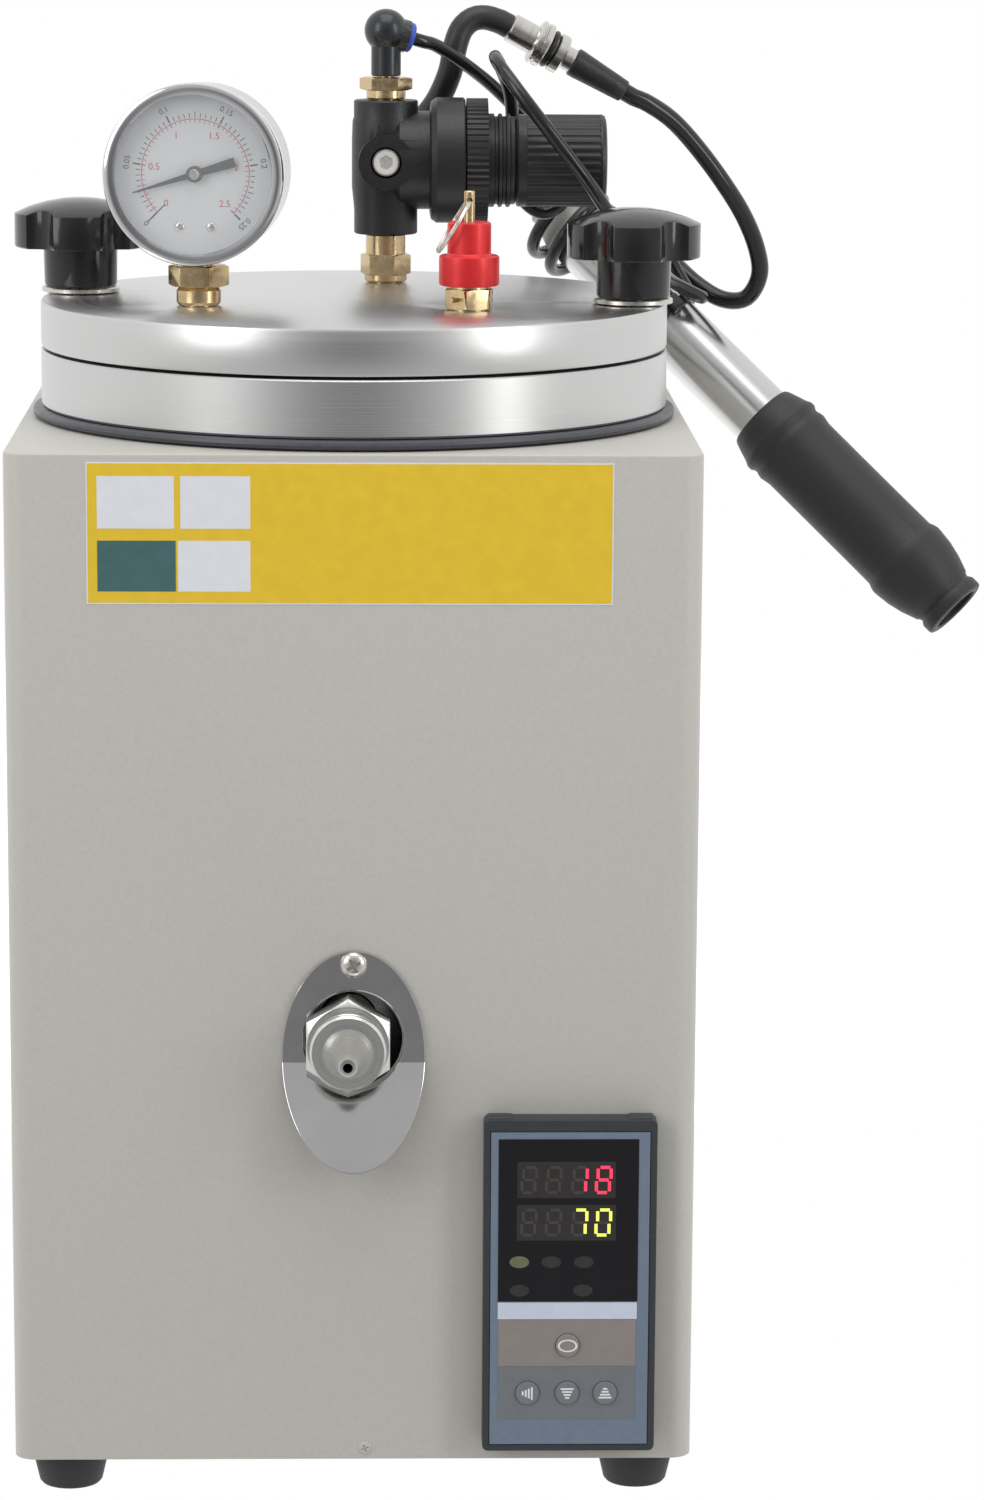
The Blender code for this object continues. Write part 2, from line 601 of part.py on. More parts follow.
def make_guard():
    """An oval plate with a round hole, its lower part leaning out, drawn as rings from the hole outwards."""
    around, rings = 36, 4
    front = FRONT_Y - GAP
    bm = bmesh.new()
    rows = []
    for j in range(rings):
        share = j / (rings - 1)
        row = []
        for i in range(around):
            angle = 2 * math.pi * i / around
            inner = Vector((GUARD_HOLE_R * math.cos(angle), NOZZLE_Z + GUARD_HOLE_R * math.sin(angle)))
            outer = Vector((GUARD_W / 2 * math.cos(angle), GUARD_Z + GUARD_H / 2 * math.sin(angle)))
            x, z = inner.lerp(outer, share)
            below = max(0.0, GUARD_BEND_Z - z)
            row.append(bm.verts.new((x, front - below * math.tan(GUARD_LEAN), z)))
        rows.append(row)
    for a, b in zip(rows, rows[1:]):
        for i in range(around):
            bm.faces.new((a[i], b[i], b[(i + 1) % around], a[(i + 1) % around]))
    guard = from_bmesh(bm, "drip_guard", STEEL)
    wall = guard.modifiers.new("sheet", "SOLIDIFY")
    wall.thickness, wall.offset = GUARD_T, 1
    smooth(guard)
    hole(
        guard, 1.8 * MM, (0, FRONT_Y - 8 * MM, GUARD_SCREW_Z), (0, FRONT_Y + 8 * MM, GUARD_SCREW_Z), 12
    )
    head = GUARD_T + 2 * GAP
    turned(
        "guard_screw",
        BRASS,
        [
            (0, head + 2.3 * MM),
            (2 * MM, head + 2.0 * MM),
            (3.3 * MM, head + 1.1 * MM),
            (3.75 * MM, head),
            (1.5 * MM, head),
            (1.5 * MM, -4 * MM),
            (0, -4 * MM),
        ],
        (0, FRONT_Y, GUARD_SCREW_Z),
        FRONT,
        steps=16,
    )


def make_nozzle():
    axis = Vector((NOZZLE_X, 0, NOZZLE_Z))
    inner_end = TANK_R - TANK_WALL - 2 * MM  # distances are measured forwards from the pot's axis
    hex_start = -FRONT_Y + 1.8 * MM
    collar_end = hex_start + NOZZLE_HEX_T + 1.5 * MM
    seat = TANK_R + 2 * MM
    body = turned(
        "nozzle_body",
        STEEL,
        [
            (NOZZLE_BORE_R, collar_end),
            (NOZZLE_HEX * 0.42, collar_end),
            (NOZZLE_HEX * 0.42, hex_start),
            (NOZZLE_SHANK_R, hex_start),
            (NOZZLE_SHANK_R, inner_end),
            (2.5 * MM, inner_end),
            (2.5 * MM, seat),
            (NOZZLE_BORE_R, seat),
            (NOZZLE_BORE_R, collar_end),
        ],
        axis,
        FRONT,
        steps=20,
    )
    nut = hexagon("nozzle_hex", STEEL, NOZZLE_HEX, hex_start, hex_start + NOZZLE_HEX_T, axis, FRONT)
    before, after = axis + FRONT * (hex_start - 5 * MM), axis + FRONT * (collar_end + 5 * MM)
    hole(nut, NOZZLE_HEX * 0.36, before, after, 24)
    join(body, nut)
    flange_low = collar_end + NOZZLE_TRAVEL + GAP
    flange_top = flange_low + 2.5 * MM
    end = flange_top + TIP_CONE_H
    stem_low = seat + 7 * MM
    bore = 1.35 * MM
    turned(
        "nozzle_tip",
        STEEL,
        [
            (bore, end),
            (TIP_END_R - 0.7 * MM, end),
            (TIP_END_R, end - 0.7 * MM),
            (TIP_CONE_R, flange_top + 1 * MM),
            (TIP_CONE_R, flange_top),
            (TIP_FLANGE_R, flange_top),
            (TIP_FLANGE_R, flange_low),
            (NOZZLE_BORE_R - GAP, flange_low),
            (NOZZLE_BORE_R - GAP, stem_low),
            (bore, stem_low),
            (bore, end),
        ],
        axis,
        FRONT,
        steps=16,
    )
    turns, per_turn, wire, coil = 4, 10, 0.5 * MM, NOZZLE_BORE_R - 1.1 * MM
    rise = stem_low - seat - 2 * wire - 2 * GAP
    points = []
    for k in range(turns * per_turn + 1):
        angle = 2 * math.pi * k / per_turn
        forward = seat + wire + GAP + rise * k / (turns * per_turn)
        points.append(axis + Vector((coil * math.cos(angle), -forward, coil * math.sin(angle))))
    tube("nozzle_spring", STEEL, points, wire, resolution=0)


# Controller


def make_controller():
    back, front = FRONT_Y - GAP, FRONT_Y - GAP - BEZEL_T
    centre = Vector((BEZEL_X, 0, BEZEL_Z))
    case = upright_box(
        "controller_case",
        BEZEL_GREY,
        (BEZEL_X - BEZEL_W / 2, front, BEZEL_Z - BEZEL_H / 2),
        (BEZEL_X + BEZEL_W / 2, back, BEZEL_Z + BEZEL_H / 2),
        1.2 * MM,
        "y",
    )
    join(
        case,
        box(
            "controller_body",
            STEEL,
            (BEZEL_X - CTRL_W / 2, back - 3 * MM, BEZEL_Z - CTRL_H / 2),
            (BEZEL_X + CTRL_W / 2, FRONT_Y + CTRL_DEPTH, BEZEL_Z + CTRL_H / 2),
        ),
    )
    face_centre = centre - UP * FACE_DROP
    recess = 1.2 * MM
    cut(
        case,
        box(
            "face_recess",
            STEEL,
            (BEZEL_X - FACE_W / 2 - GAP, front - 5 * MM, face_centre.z - FACE_H / 2 - GAP),
            (BEZEL_X + FACE_W / 2 + GAP, front + recess, face_centre.z + FACE_H / 2 + GAP),
        ),
    )
    plate_front = front + recess - GAP - FACE_T
    plate = box(
        "controller_face",
        FACE_BLUE,
        (BEZEL_X - FACE_W / 2, plate_front, face_centre.z - FACE_H / 2),
        (BEZEL_X + FACE_W / 2, plate_front + FACE_T, face_centre.z + FACE_H / 2),
    )
    for name, (across, up) in KEYS.items():
        spot = Vector((BEZEL_X + across, plate_front, face_centre.z + up))
        deep = 3.2 * MM
        hole(plate, KEY_R + GAP, spot + FRONT * 5 * MM, spot + BACK * 5 * MM, 20)
        hole(case, KEY_R + GAP, spot + FRONT * 5 * MM, spot + BACK * (deep + KEY_TRAVEL + GAP), 20)
        rod(name, KEY_GREY, KEY_R, -deep, KEY_STAND, spot, FRONT, sides=16)


# Gauge


def make_gauge():
    half = GAUGE_DEPTH / 2
    wall = 1.2 * MM
    case = turned(
        "gauge_case",
        CHROME,
        [
            (0, -half + wall),
            (GAUGE_R - wall, -half + wall),
            (GAUGE_R - wall, half - 2 * MM),
            (GAUGE_R - 2.6 * MM, half - 2 * MM),
            (GAUGE_R - 2.6 * MM, half),
            (GAUGE_BEZEL_R - 1 * MM, half),
            (GAUGE_BEZEL_R, half - 1.2 * MM),
            (GAUGE_BEZEL_R, half - 4.5 * MM),
            (GAUGE_R, half - 5.2 * MM),
            (GAUGE_R, -half + 1 * MM),
            (GAUGE_R - 1 * MM, -half),
            (0, -half),
        ],
        parent=GAUGE,
        steps=32,
    )
    hole(case, PIPE_R - 0.4 * MM, (0, -GAUGE_R - 6 * MM, 0), (0, -GAUGE_R + 6 * MM, 0), 16, GAUGE)
    disc_r = GAUGE_R - wall - GAP
    lens_top = half - 2 * MM - GAP
    rod("gauge_lens", GLASS, disc_r, lens_top - 1.5 * MM, lens_top, parent=GAUGE, sides=28)
    dial_top = lens_top - 5 * MM
    dial = rod("gauge_dial", WHITE_DIAL, disc_r, dial_top - 0.8 * MM, dial_top, parent=GAUGE, sides=28)
    pin = 0.8 * MM
    hole(dial, pin + GAP, (0, 0, dial_top - 4 * MM), (0, 0, dial_top + 4 * MM), 12, GAUGE)
    blade_low, blade_t = dial_top + 1 * MM, 0.5 * MM
    needle = turned(
        "gauge_needle",
        BLACK_MATTE,
        [
            (0, blade_low + 1.6 * MM),
            (2 * MM, blade_low + 1.6 * MM),
            (2.3 * MM, blade_low + 0.9 * MM),
            (2.3 * MM, dial_top + GAP),
            (pin, dial_top + GAP),
            (pin, dial_top - 3 * MM),
            (0, dial_top - 3 * MM),
        ],
        parent=GAUGE,
        steps=16,
    )
    needle.rotation_mode = "XYZ"
    outline = bpy.data.curves.new("needle_outline", "CURVE")
    outline.dimensions, outline.fill_mode, outline.extrude = "2D", "BOTH", blade_t / 2
    line = outline.splines.new("POLY")
    corners = [
        (NEEDLE_L, 0.15 * MM), (2 * MM, 0.75 * MM), (-2 * MM, 0.75 * MM), (-NEEDLE_TAIL, 1.5 * MM),
        (-NEEDLE_TAIL, -1.5 * MM), (-2 * MM, -0.75 * MM), (2 * MM, -0.75 * MM), (NEEDLE_L, -0.15 * MM),
    ]
    line.points.add(len(corners) - 1)
    for spot, (x, y) in zip(line.points, corners):
        spot.co = (x, y, 0, 1)
    line.use_cyclic_u = True
    blade = bpy.data.objects.new("needle_blade", outline)
    blade = as_mesh(finish(blade, "needle_blade", STEEL, (0, 0, blade_low + blade_t / 2), UP, GAUGE))
    blade.matrix_basis = Matrix.Translation((0, 0, blade_low + blade_t / 2)) @ Matrix.Rotation(
        NEEDLE_ANGLE, 4, "Z"
    )
    join(needle, blade)
    bottom = GAUGE_Z - GAUGE_R
    shank_top = GAUGE_Z - 17.1 * MM
    stem = turned(
        "gauge_stem",
        BRASS,
        [
            (0, shank_top),
            (4 * MM, shank_top),
            (4 * MM, bottom - 1.2 * MM),
            (6 * MM, bottom - 1.2 * MM),
            (6 * MM, LID_TOP + GAP),
            (PIPE_R, LID_TOP + GAP),
            (PIPE_R, LID_TOP - 10 * MM),
            (0, LID_TOP - 10 * MM),
        ],
        (GAUGE_X, GAUGE_Y, 0),
        steps=16,
    )
    hex_low, at = LID_TOP + 5.5 * MM, (GAUGE_X, GAUGE_Y, 0)
    join(stem, hexagon("gauge_hex", STEEL, GAUGE_HEX, hex_low, bottom - 1 * MM, at))
    bend_r, pipe = 15 * MM, 1.8 * MM
    first, last, count = math.radians(-90), math.radians(150), 16
    points = []
    for k in range(count + 1):
        angle = first + (last - first) * k / count
        points.append((bend_r * math.cos(angle), bend_r * math.sin(angle), -2 * MM))
    tube("bourdon_tube", BRASS, points, pipe, GAUGE)


# Regulator


def make_regulator():
    column = Vector((REG_X, REG_Y, 0))
    mid = Vector((REG_X, REG_Y, REG_Z))
    bar = Vector((0, REG_Y, REG_Z))
    low, high = REG_BOTTOM, REG_TOP
    body = turned(
        "regulator_body",
        BLACK_MATTE,
        [
            (0, high),
            (REG_COLUMN_R - 0.6 * MM, high),
            (REG_COLUMN_R, high - 0.6 * MM),
            (REG_COLUMN_R, high - 5 * MM),
            (REG_COLUMN_R - 0.8 * MM, high - 6 * MM),
            (REG_COLUMN_R + 0.6 * MM, high - 12 * MM),
            (REG_COLUMN_R + 0.6 * MM, low + 14 * MM),
            (REG_COLUMN_R - 0.6 * MM, low + 8 * MM),
            (REG_COLUMN_R - 0.2 * MM, low + 7 * MM),
            (REG_COLUMN_R - 0.2 * MM, low + 0.6 * MM),
            (REG_COLUMN_R - 0.8 * MM, low),
            (0, low),
        ],
        column,
        steps=20,
    )
    neck = turned(
        "regulator_neck",
        STEEL,
        [
            (0, REG_SEAM_X),
            (REG_FLANGE_R - 1 * MM, REG_SEAM_X),
            (REG_FLANGE_R, REG_SEAM_X - 1 * MM),
            (REG_FLANGE_R, REG_FLANGE_X + 2 * MM),
            (REG_FLANGE_R - 2 * MM, REG_FLANGE_X),
            (REG_NECK_R, REG_FLANGE_X),
            (REG_NECK_R, REG_X + 4 * MM),
            (REG_NECK_R - 5 * MM, REG_X),
            (0, REG_X),
        ],
        bar,
        RIGHT,
        steps=24,
    )
    boss = REG_BOSS
    join(
        body,
        neck,
        rod("front_boss", STEEL, REG_PORT_R, 0, boss, mid, FRONT, sides=16),
        rod("rear_boss", STEEL, REG_PORT_R, 0, boss, mid, BACK, sides=16),
    )
    hole(body, REG_CAVITY_R, bar + RIGHT * (REG_FLANGE_X - 2 * MM), bar + RIGHT * (REG_SEAM_X + 9 * MM), 32)
    thread = 4 * MM
    hole(body, thread, column + UP * (low - 5 * MM), column + UP * (low + 8 * MM), 16)
    hole(body, thread, column + UP * (high - 8 * MM), column + UP * (high + 5 * MM), 16)
    hole(body, thread + 0.3 * MM, mid + FRONT * (boss - 6.5 * MM), mid + FRONT * (boss + 5 * MM), 20)
    hole(body, thread + 0.3 * MM, mid + BACK * (boss - 6.5 * MM), mid + BACK * (boss + 5 * MM), 20)
    plug = rod("port_plug", CHROME, thread, boss - 6 * MM, boss - 0.6 * MM, mid, FRONT, sides=16)
    cut(plug, hexagon("plug_key", STEEL, 3.4 * MM, boss - 3.5 * MM, boss + 5 * MM, mid, FRONT))

    lip = 2 * MM
    nut_end = REG_SEAM_X + GAP + REG_NUT_L
    ring_in, ring_step = REG_BONNET_R + GAP, REG_SEAM_X + GAP + lip + GAP
    turned(
        "regulator_nut",
        BLACK_MATTE,
        [
            (ring_in, nut_end),
            (REG_FLANGE_R - 1 * MM, nut_end),
            (REG_FLANGE_R - 0.2 * MM, nut_end - 0.8 * MM),
            (REG_FLANGE_R - 0.2 * MM, REG_SEAM_X + GAP),
            (REG_FLANGE_R - 1.6 * MM, REG_SEAM_X + GAP),
            (REG_FLANGE_R - 1.6 * MM, ring_step),
            (ring_in, ring_step),
            (ring_in, nut_end),
        ],
        bar,
        RIGHT,
        steps=24,
    )
    bonnet_start = REG_SEAM_X + GAP
    bonnet_end = bonnet_start + REG_BONNET_L
    spring_room = 9 * MM
    neck_end = bonnet_end + 15 * MM
    turned(
        "regulator_bonnet",
        BLACK_MATTE,
        [
            (spring_room, neck_end),
            (REG_NECK_TUBE_R, neck_end),
            (REG_NECK_TUBE_R, bonnet_end),
            (REG_BONNET_R, bonnet_end),
            (REG_BONNET_R, bonnet_start + lip),
            (REG_FLANGE_R - 1.9 * MM, bonnet_start + lip),
            (REG_FLANGE_R - 1.9 * MM, bonnet_start),
            (spring_room, bonnet_start),
            (spring_room, neck_end),
        ],
        bar,
        RIGHT,
        steps=20,
    )
    knob_start = bonnet_end + GAP
    knob_end = knob_start + REG_KNOB_L
    inside = REG_NECK_TUBE_R + GAP
    turned(
        "regulator_knob",
        BLACK_MATTE,
        [
            (0, knob_end),
            (REG_KNOB_R - 1.5 * MM, knob_end),
            (REG_KNOB_R, knob_end - 1.5 * MM),
            (REG_KNOB_R, knob_start),
            (inside, knob_start),
            (inside, knob_end - 2.5 * MM),
            (0, knob_end - 2.5 * MM),
        ],
        bar,
        RIGHT,
        steps=20,
    )
    wire, coil, turns, per_turn = 0.8 * MM, spring_room - 0.8 * MM - GAP, 6, 10
    start, rise = REG_FLANGE_X + wire, neck_end - REG_FLANGE_X - 3 * MM
    points = []
    for k in range(turns * per_turn + 1):
        angle = 2 * math.pi * k / per_turn
        spot = Vector((start + rise * k / (turns * per_turn), coil * math.cos(angle), coil * math.sin(angle)))
        points.append(bar + spot)
    tube("regulator_spring", STEEL, points, wire, resolution=0)


def make_nipples():
    at = Vector((REG_X, REG_Y, 0))
    hex_low, hex_high = LID_TOP + 2.4 * MM, LID_TOP + 8.7 * MM
    thread_top = REG_BOTTOM + 6 * MM
    nipple = turned(
        "outlet_nipple",
        BRASS,
        [
            (0, thread_top),
            (3.7 * MM, thread_top),
            (3.7 * MM, REG_BOTTOM - GAP),
            (5.9 * MM, REG_BOTTOM - GAP),
            (5.9 * MM, hex_low + 2 * MM),
            (6.3 * MM, hex_low + 2 * MM),
            (6.3 * MM, LID_TOP + GAP),
            (PIPE_R, LID_TOP + GAP),
            (PIPE_R, LID_TOP - 10 * MM),
            (0, LID_TOP - 10 * MM),
        ],
        at,
        steps=16,
    )
    join(nipple, hexagon("nipple_hex", STEEL, 13.2 * MM, hex_low, hex_high, at))
    base = REG_TOP + GAP
    hex_low, hex_high = base + 2.6 * MM, base + 6.4 * MM
    top = turned(
        "elbow_nipple",
        BRASS,
        [
            (0, hex_high + 5 * MM),
            (2.4 * MM, hex_high + 5 * MM),
            (2.4 * MM, hex_high - 1 * MM),
            (5.8 * MM, hex_high - 1 * MM),
            (5.8 * MM, base),
            (3.7 * MM, base),
            (3.7 * MM, base - 6 * MM),
            (0, base - 6 * MM),
        ],
        at,
        steps=16,
    )
    join(top, hexagon("elbow_hex", STEEL, 13.6 * MM, hex_low, hex_high, at))
    ball = ELBOW_BALL
    elbow = turned(
        "elbow_fitting",
        BLACK_MATTE,
        [(0, ball.z), (4.4 * MM, ball.z), (4.4 * MM, hex_high + GAP), (0, hex_high + GAP)],
        at,
        steps=20,
    )
    bm = bmesh.new()
    bmesh.ops.create_uvsphere(bm, u_segments=16, v_segments=8, radius=6.5 * MM)
    ball_shape = from_bmesh(bm, "elbow_ball", STEEL, ball)
    arm = rod("elbow_arm", STEEL, 4.9 * MM, 0, ELBOW_ARM, ball, ELBOW_AIM, sides=20)
    join(elbow, ball_shape, arm)
    hole(elbow, 2.4 * MM + GAP, at + UP * (hex_high - 4 * MM), at + UP * (hex_high + 5.6 * MM), 16)


ELBOW_AIM = Vector((0.94, 0.2, -0.28)).normalized()
ELBOW_ARM = 8.4 * MM


# Safety valve


def make_safety_valve():
    at = Vector((VALVE_X, VALVE_Y, 0))
    hex_low = LID_TOP + GAP
    hex_high = hex_low + VALVE_HEX_H
    bore = VALVE_STEM_R + GAP
    body = turned(
        "valve_body",
        BRASS,
        [
            (bore, hex_high),
            (VALVE_HEX * 0.46, hex_high),
            (VALVE_HEX * 0.46, hex_low),
            (PIPE_R, hex_low),
            (PIPE_R, LID_TOP - 10 * MM),
            (bore, LID_TOP - 10 * MM),
            (bore, hex_high),
        ],
        at,
        steps=16,
    )
    nut = hexagon("valve_hex", STEEL, VALVE_HEX, hex_low, hex_high - 0.3 * MM, at)
    hole(nut, VALVE_HEX * 0.3, at + UP * (hex_low - 5 * MM), at + UP * (hex_high + 5 * MM), 20)
    join(body, nut)
    cap_low = hex_high + GAP
    cap_mid, cap_top = cap_low + CAP_LOW_H, cap_low + CAP_LOW_H + CAP_TOP_H
    turned(
        "valve_cap",
        RED_CAP,
        [
            (bore, cap_top),
            (CAP_TOP_R - 0.8 * MM, cap_top),
            (CAP_TOP_R, cap_top - 0.8 * MM),
            (CAP_TOP_R, cap_mid),
            (CAP_LOW_R - 0.6 * MM, cap_mid),
            (CAP_LOW_R, cap_mid - 0.6 * MM),
            (CAP_LOW_R, cap_low + 0.6 * MM),
            (CAP_LOW_R - 0.6 * MM, cap_low),
            (bore, cap_low),
            (bore, cap_top),
        ],
        at,
        steps=16,
    )
    stem = rod("valve_stem", BRASS, VALVE_STEM_R, LID_TOP - 9 * MM, cap_top + VALVE_STEM_OUT, at, sides=16)
    eye = at + UP * (cap_top + VALVE_STEM_OUT - 2.7 * MM)
    hole(stem, RING_HOLE_R, eye + FRONT * 5 * MM, eye + BACK * 5 * MM, 12)
    hang = Vector((-math.sin(RING_LEAN), 0, -math.cos(RING_LEAN)))
    centre = eye + hang * RING_R
    count = 32
    points = []
    for k in range(count):
        angle = 2 * math.pi * k / count
        points.append(centre + RING_R * (math.cos(angle) * -hang + math.sin(angle) * BACK))
    tube("pull_ring", CHROME, points, RING_WIRE_R, closed=True, resolution=1)


# Hand pump


def make_pump():
    head_l, radius = PUMP_HEAD_L, PUMP_BARREL_R
    inside = radius - PUMP_BARREL_WALL
    bore = 1.4 * MM
    head = turned(
        "pump_head",
        PUMP_GREY,
        [
            (bore, head_l + 4 * MM),
            (inside - GAP, head_l + 4 * MM),
            (inside - GAP, head_l),
            (radius, head_l),
            (radius, head_l - 4 * MM),
            (HEAD_BEAD_R, HEAD_BEAD_AT + 3 * MM),
            (HEAD_BEAD_R, HEAD_BEAD_AT),
            (4.2 * MM, HEAD_BEAD_AT - 1 * MM),
            (4.2 * MM, 0),
            (bore, 0),
            (bore, head_l + 4 * MM),
        ],
        parent=PUMP,
        steps=16,
    )
    port_at = on_pump(PORT_AT) + PORT_SIDE * PORT_OFF
    port = rod("tube_port", STEEL, PORT_R, -5 * MM, PORT_L, port_at, PORT_AIM, sides=16)
    join(head, port)
    start = head_l + GAP
    end = start + PUMP_BARREL_L
    guide = PUMP_ROD_R + GAP
    turned(
        "pump_barrel",
        CHROME,
        [
            (inside, start),
            (inside, end - 4 * MM),
            (guide, end - 4 * MM),
            (guide, end),
            (radius, end),
            (radius, start),
            (inside, start),
        ],
        parent=PUMP,
        steps=16,
    )
    piston = start + 8 * MM
    wall_end = GRIP_START + GRIP_L - 9 * MM
    turned(
        "pump_rod",
        STEEL,
        [
            (0, wall_end - GAP),
            (PUMP_ROD_R, wall_end - GAP),
            (PUMP_ROD_R, piston + PISTON_L),
            (inside - GAP, piston + PISTON_L),
            (inside - GAP, piston),
            (0, piston),
        ],
        parent=PUMP,
        steps=16,
    )
    at, far = GRIP_START, GRIP_START + GRIP_L
    slide_r = radius + GAP
    turned(
        "pump_grip",
        BLACK_RUBBER,
        [
            (0, far - 3 * MM),
            (GRIP_END_R - 3 * MM, far - 3 * MM),
            (GRIP_END_R - 3 * MM, far),
            (GRIP_END_R - 0.8 * MM, far),
            (GRIP_END_R, far - 0.8 * MM),
            (GRIP_END_R, far - 4 * MM),
            (GRIP_END_R - 1 * MM, far - 5 * MM),
            (GRIP_END_R, far - 6.5 * MM),
            (GRIP_BUMP_R - 0.6 * MM, far - 16 * MM),
            (GRIP_BUMP_R, far - 22 * MM),
            (GRIP_R, far - 25 * MM),
            (GRIP_R, at + 17 * MM),
            (GRIP_BUMP_R - 0.3 * MM, at + 13.5 * MM),
            (GRIP_R, at + 11 * MM),
            (GRIP_BUMP_R, at + 8.5 * MM),
            (GRIP_R, at + 6 * MM),
            (radius + 1 * MM, at),
            (slide_r, at),
            (slide_r, wall_end),
            (0, wall_end),
        ],
        parent=PUMP,
        steps=16,
    )


def make_bracket():
    outer = PUMP_BARREL_R + GAP + CLAMP_WALL
    centre = on_pump(CLAMP_AT)
    strap = box(
        "pump_bracket",
        STEEL,
        (STRAP_X - STRAP_W / 2, PANEL_Y, STRAP_LOW),
        (STRAP_X + STRAP_W / 2, PANEL_Y + STRAP_T, centre.z + 3 * MM),
    )
    lug = box(
        "bracket_lug",
        STEEL,
        (STRAP_X - STRAP_W / 2 + 2 * MM, PANEL_Y + 0.5 * MM, centre.z - 7 * MM),
        (STRAP_X + STRAP_W / 2 - 2 * MM, centre.y - PUMP_BARREL_R + 3 * MM, centre.z + 1 * MM),
    )
    band = rod("bracket_band", STEEL, outer, -CLAMP_L / 2, CLAMP_L / 2, centre, PUMP_AXIS, sides=28)
    join(strap, lug, band)
    reach = PUMP_AXIS * 25 * MM
    hole(strap, PUMP_BARREL_R + GAP, centre - reach, centre + reach, 32)


# The tube's side port on the pump head: a stub that lies across the head, beside its axis
PORT_AT, PORT_OFF, PORT_R, PORT_L = 5 * MM, 6.5 * MM, 3 * MM, 6 * MM
PORT_ANGLE = math.radians(60)
PORT_SIDE = PUMP_SIDE * math.cos(PORT_ANGLE) + PUMP_UP * math.sin(PORT_ANGLE)
PORT_AIM = PUMP_UP * math.cos(PORT_ANGLE) - PUMP_SIDE * math.sin(PORT_ANGLE)


# Air lines


def from_ports(x, y, z):
    """A point in mm from the middle of the regulator's ports."""
    return Vector((REG_X / MM + x, REG_Y / MM + y, REG_Z / MM + z)) * MM


GOOSE_ROUTE = [
    (2.8, 27, 2), (8.8, 30, 7.5), (15.3, 27, 15.5),
    (19.3, 24, 24.5), (20.8, 24, 32), (22.8, 25, 37.5), (26.2, 26, 40.5), (30.2, 26.7, 41),
]
COUPLER_AIM = Vector((0.88, 0.08, -0.47)).normalized()
COUPLER_AT = from_ports(37.3, 27.5, 38.3) + COUPLER_AIM * GAP
RELIEF_AIM = Vector((0.86, 0.08, -0.5)).normalized()
RELIEF_AT = COUPLER_AT + COUPLER_AIM * (COUPLER_L + GAP)
HOSE_AT = RELIEF_AT + RELIEF_AIM * (RELIEF_L + GAP)
HOSE_ROUTE = [
    (88.5, 83, 382), (96.5, 85, 375.3), (104, 88, 366.7), (112.4, 91, 355.9), (119.5, 95, 345),
    (124, 98, 334.5), (125.2, 101, 326), (121.5, 104, 318.8), (114.5, 108, 318), (107, 112.5, 322),
    (100, 121, 328), (95, 132, 332), (90, 144, 336), (83, 156, 340), (72, 164.5, 345),
    (58, 167, 350), (45, 164, 355.5), (35, 155, 361), (34, 145.5, 364), (42, 136.5, 361),
]
TUBE_ROUTE = [
    (24, 55.5, 398), (31, 62, 393.5), (40, 71, 386.5), (48, 77, 379), (57, 79.5, 370.5), (64, 79, 361.5),
    (64.5, 77, 352), (57.5, 75.5, 347), (50.5, 74, 351.5), (48, 72, 361), (47.5, 70, 372), (46.5, 66, 383),
    (43.5, 59.5, 391.5), (41.5, 50, 395), (42.5, 40.5, 393), (47, 33.5, 387), (54, 30.5, 378),
    (61.5, 30.5, 368.5), (68.5, 33, 359.5), (75, 38, 350), (82, 52, 341), (90, 70, 333), (97, 88, 325.5),
]
TUBE_ON_PUMP = [(62, -6, 16), (57, -3, 13.5), (50, -1.5, 14.6), (42, 0, 16.4), (33, 2, 15)]


def wrapped_tube():
    """The thin tube's route: over the lid, past the tie on the barrel, and round the pump's head."""
    points = [Vector(p) * MM for p in TUBE_ROUTE]
    points += [on_pump(*(v * MM for v in p)) for p in TUBE_ON_PUMP]
    lie = PUMP_BARREL_R + TUBE_R + 1.2 * MM
    first = math.radians(70)
    steps = round(WRAP_TURNS * 12)
    for k in range(steps + 1):
        share = k / steps
        angle = first - 2 * math.pi * WRAP_TURNS * share
        along = WRAP_START + (WRAP_END - WRAP_START) * share
        points.append(on_pump(along, lie * math.cos(angle), lie * math.sin(angle)))
    return points



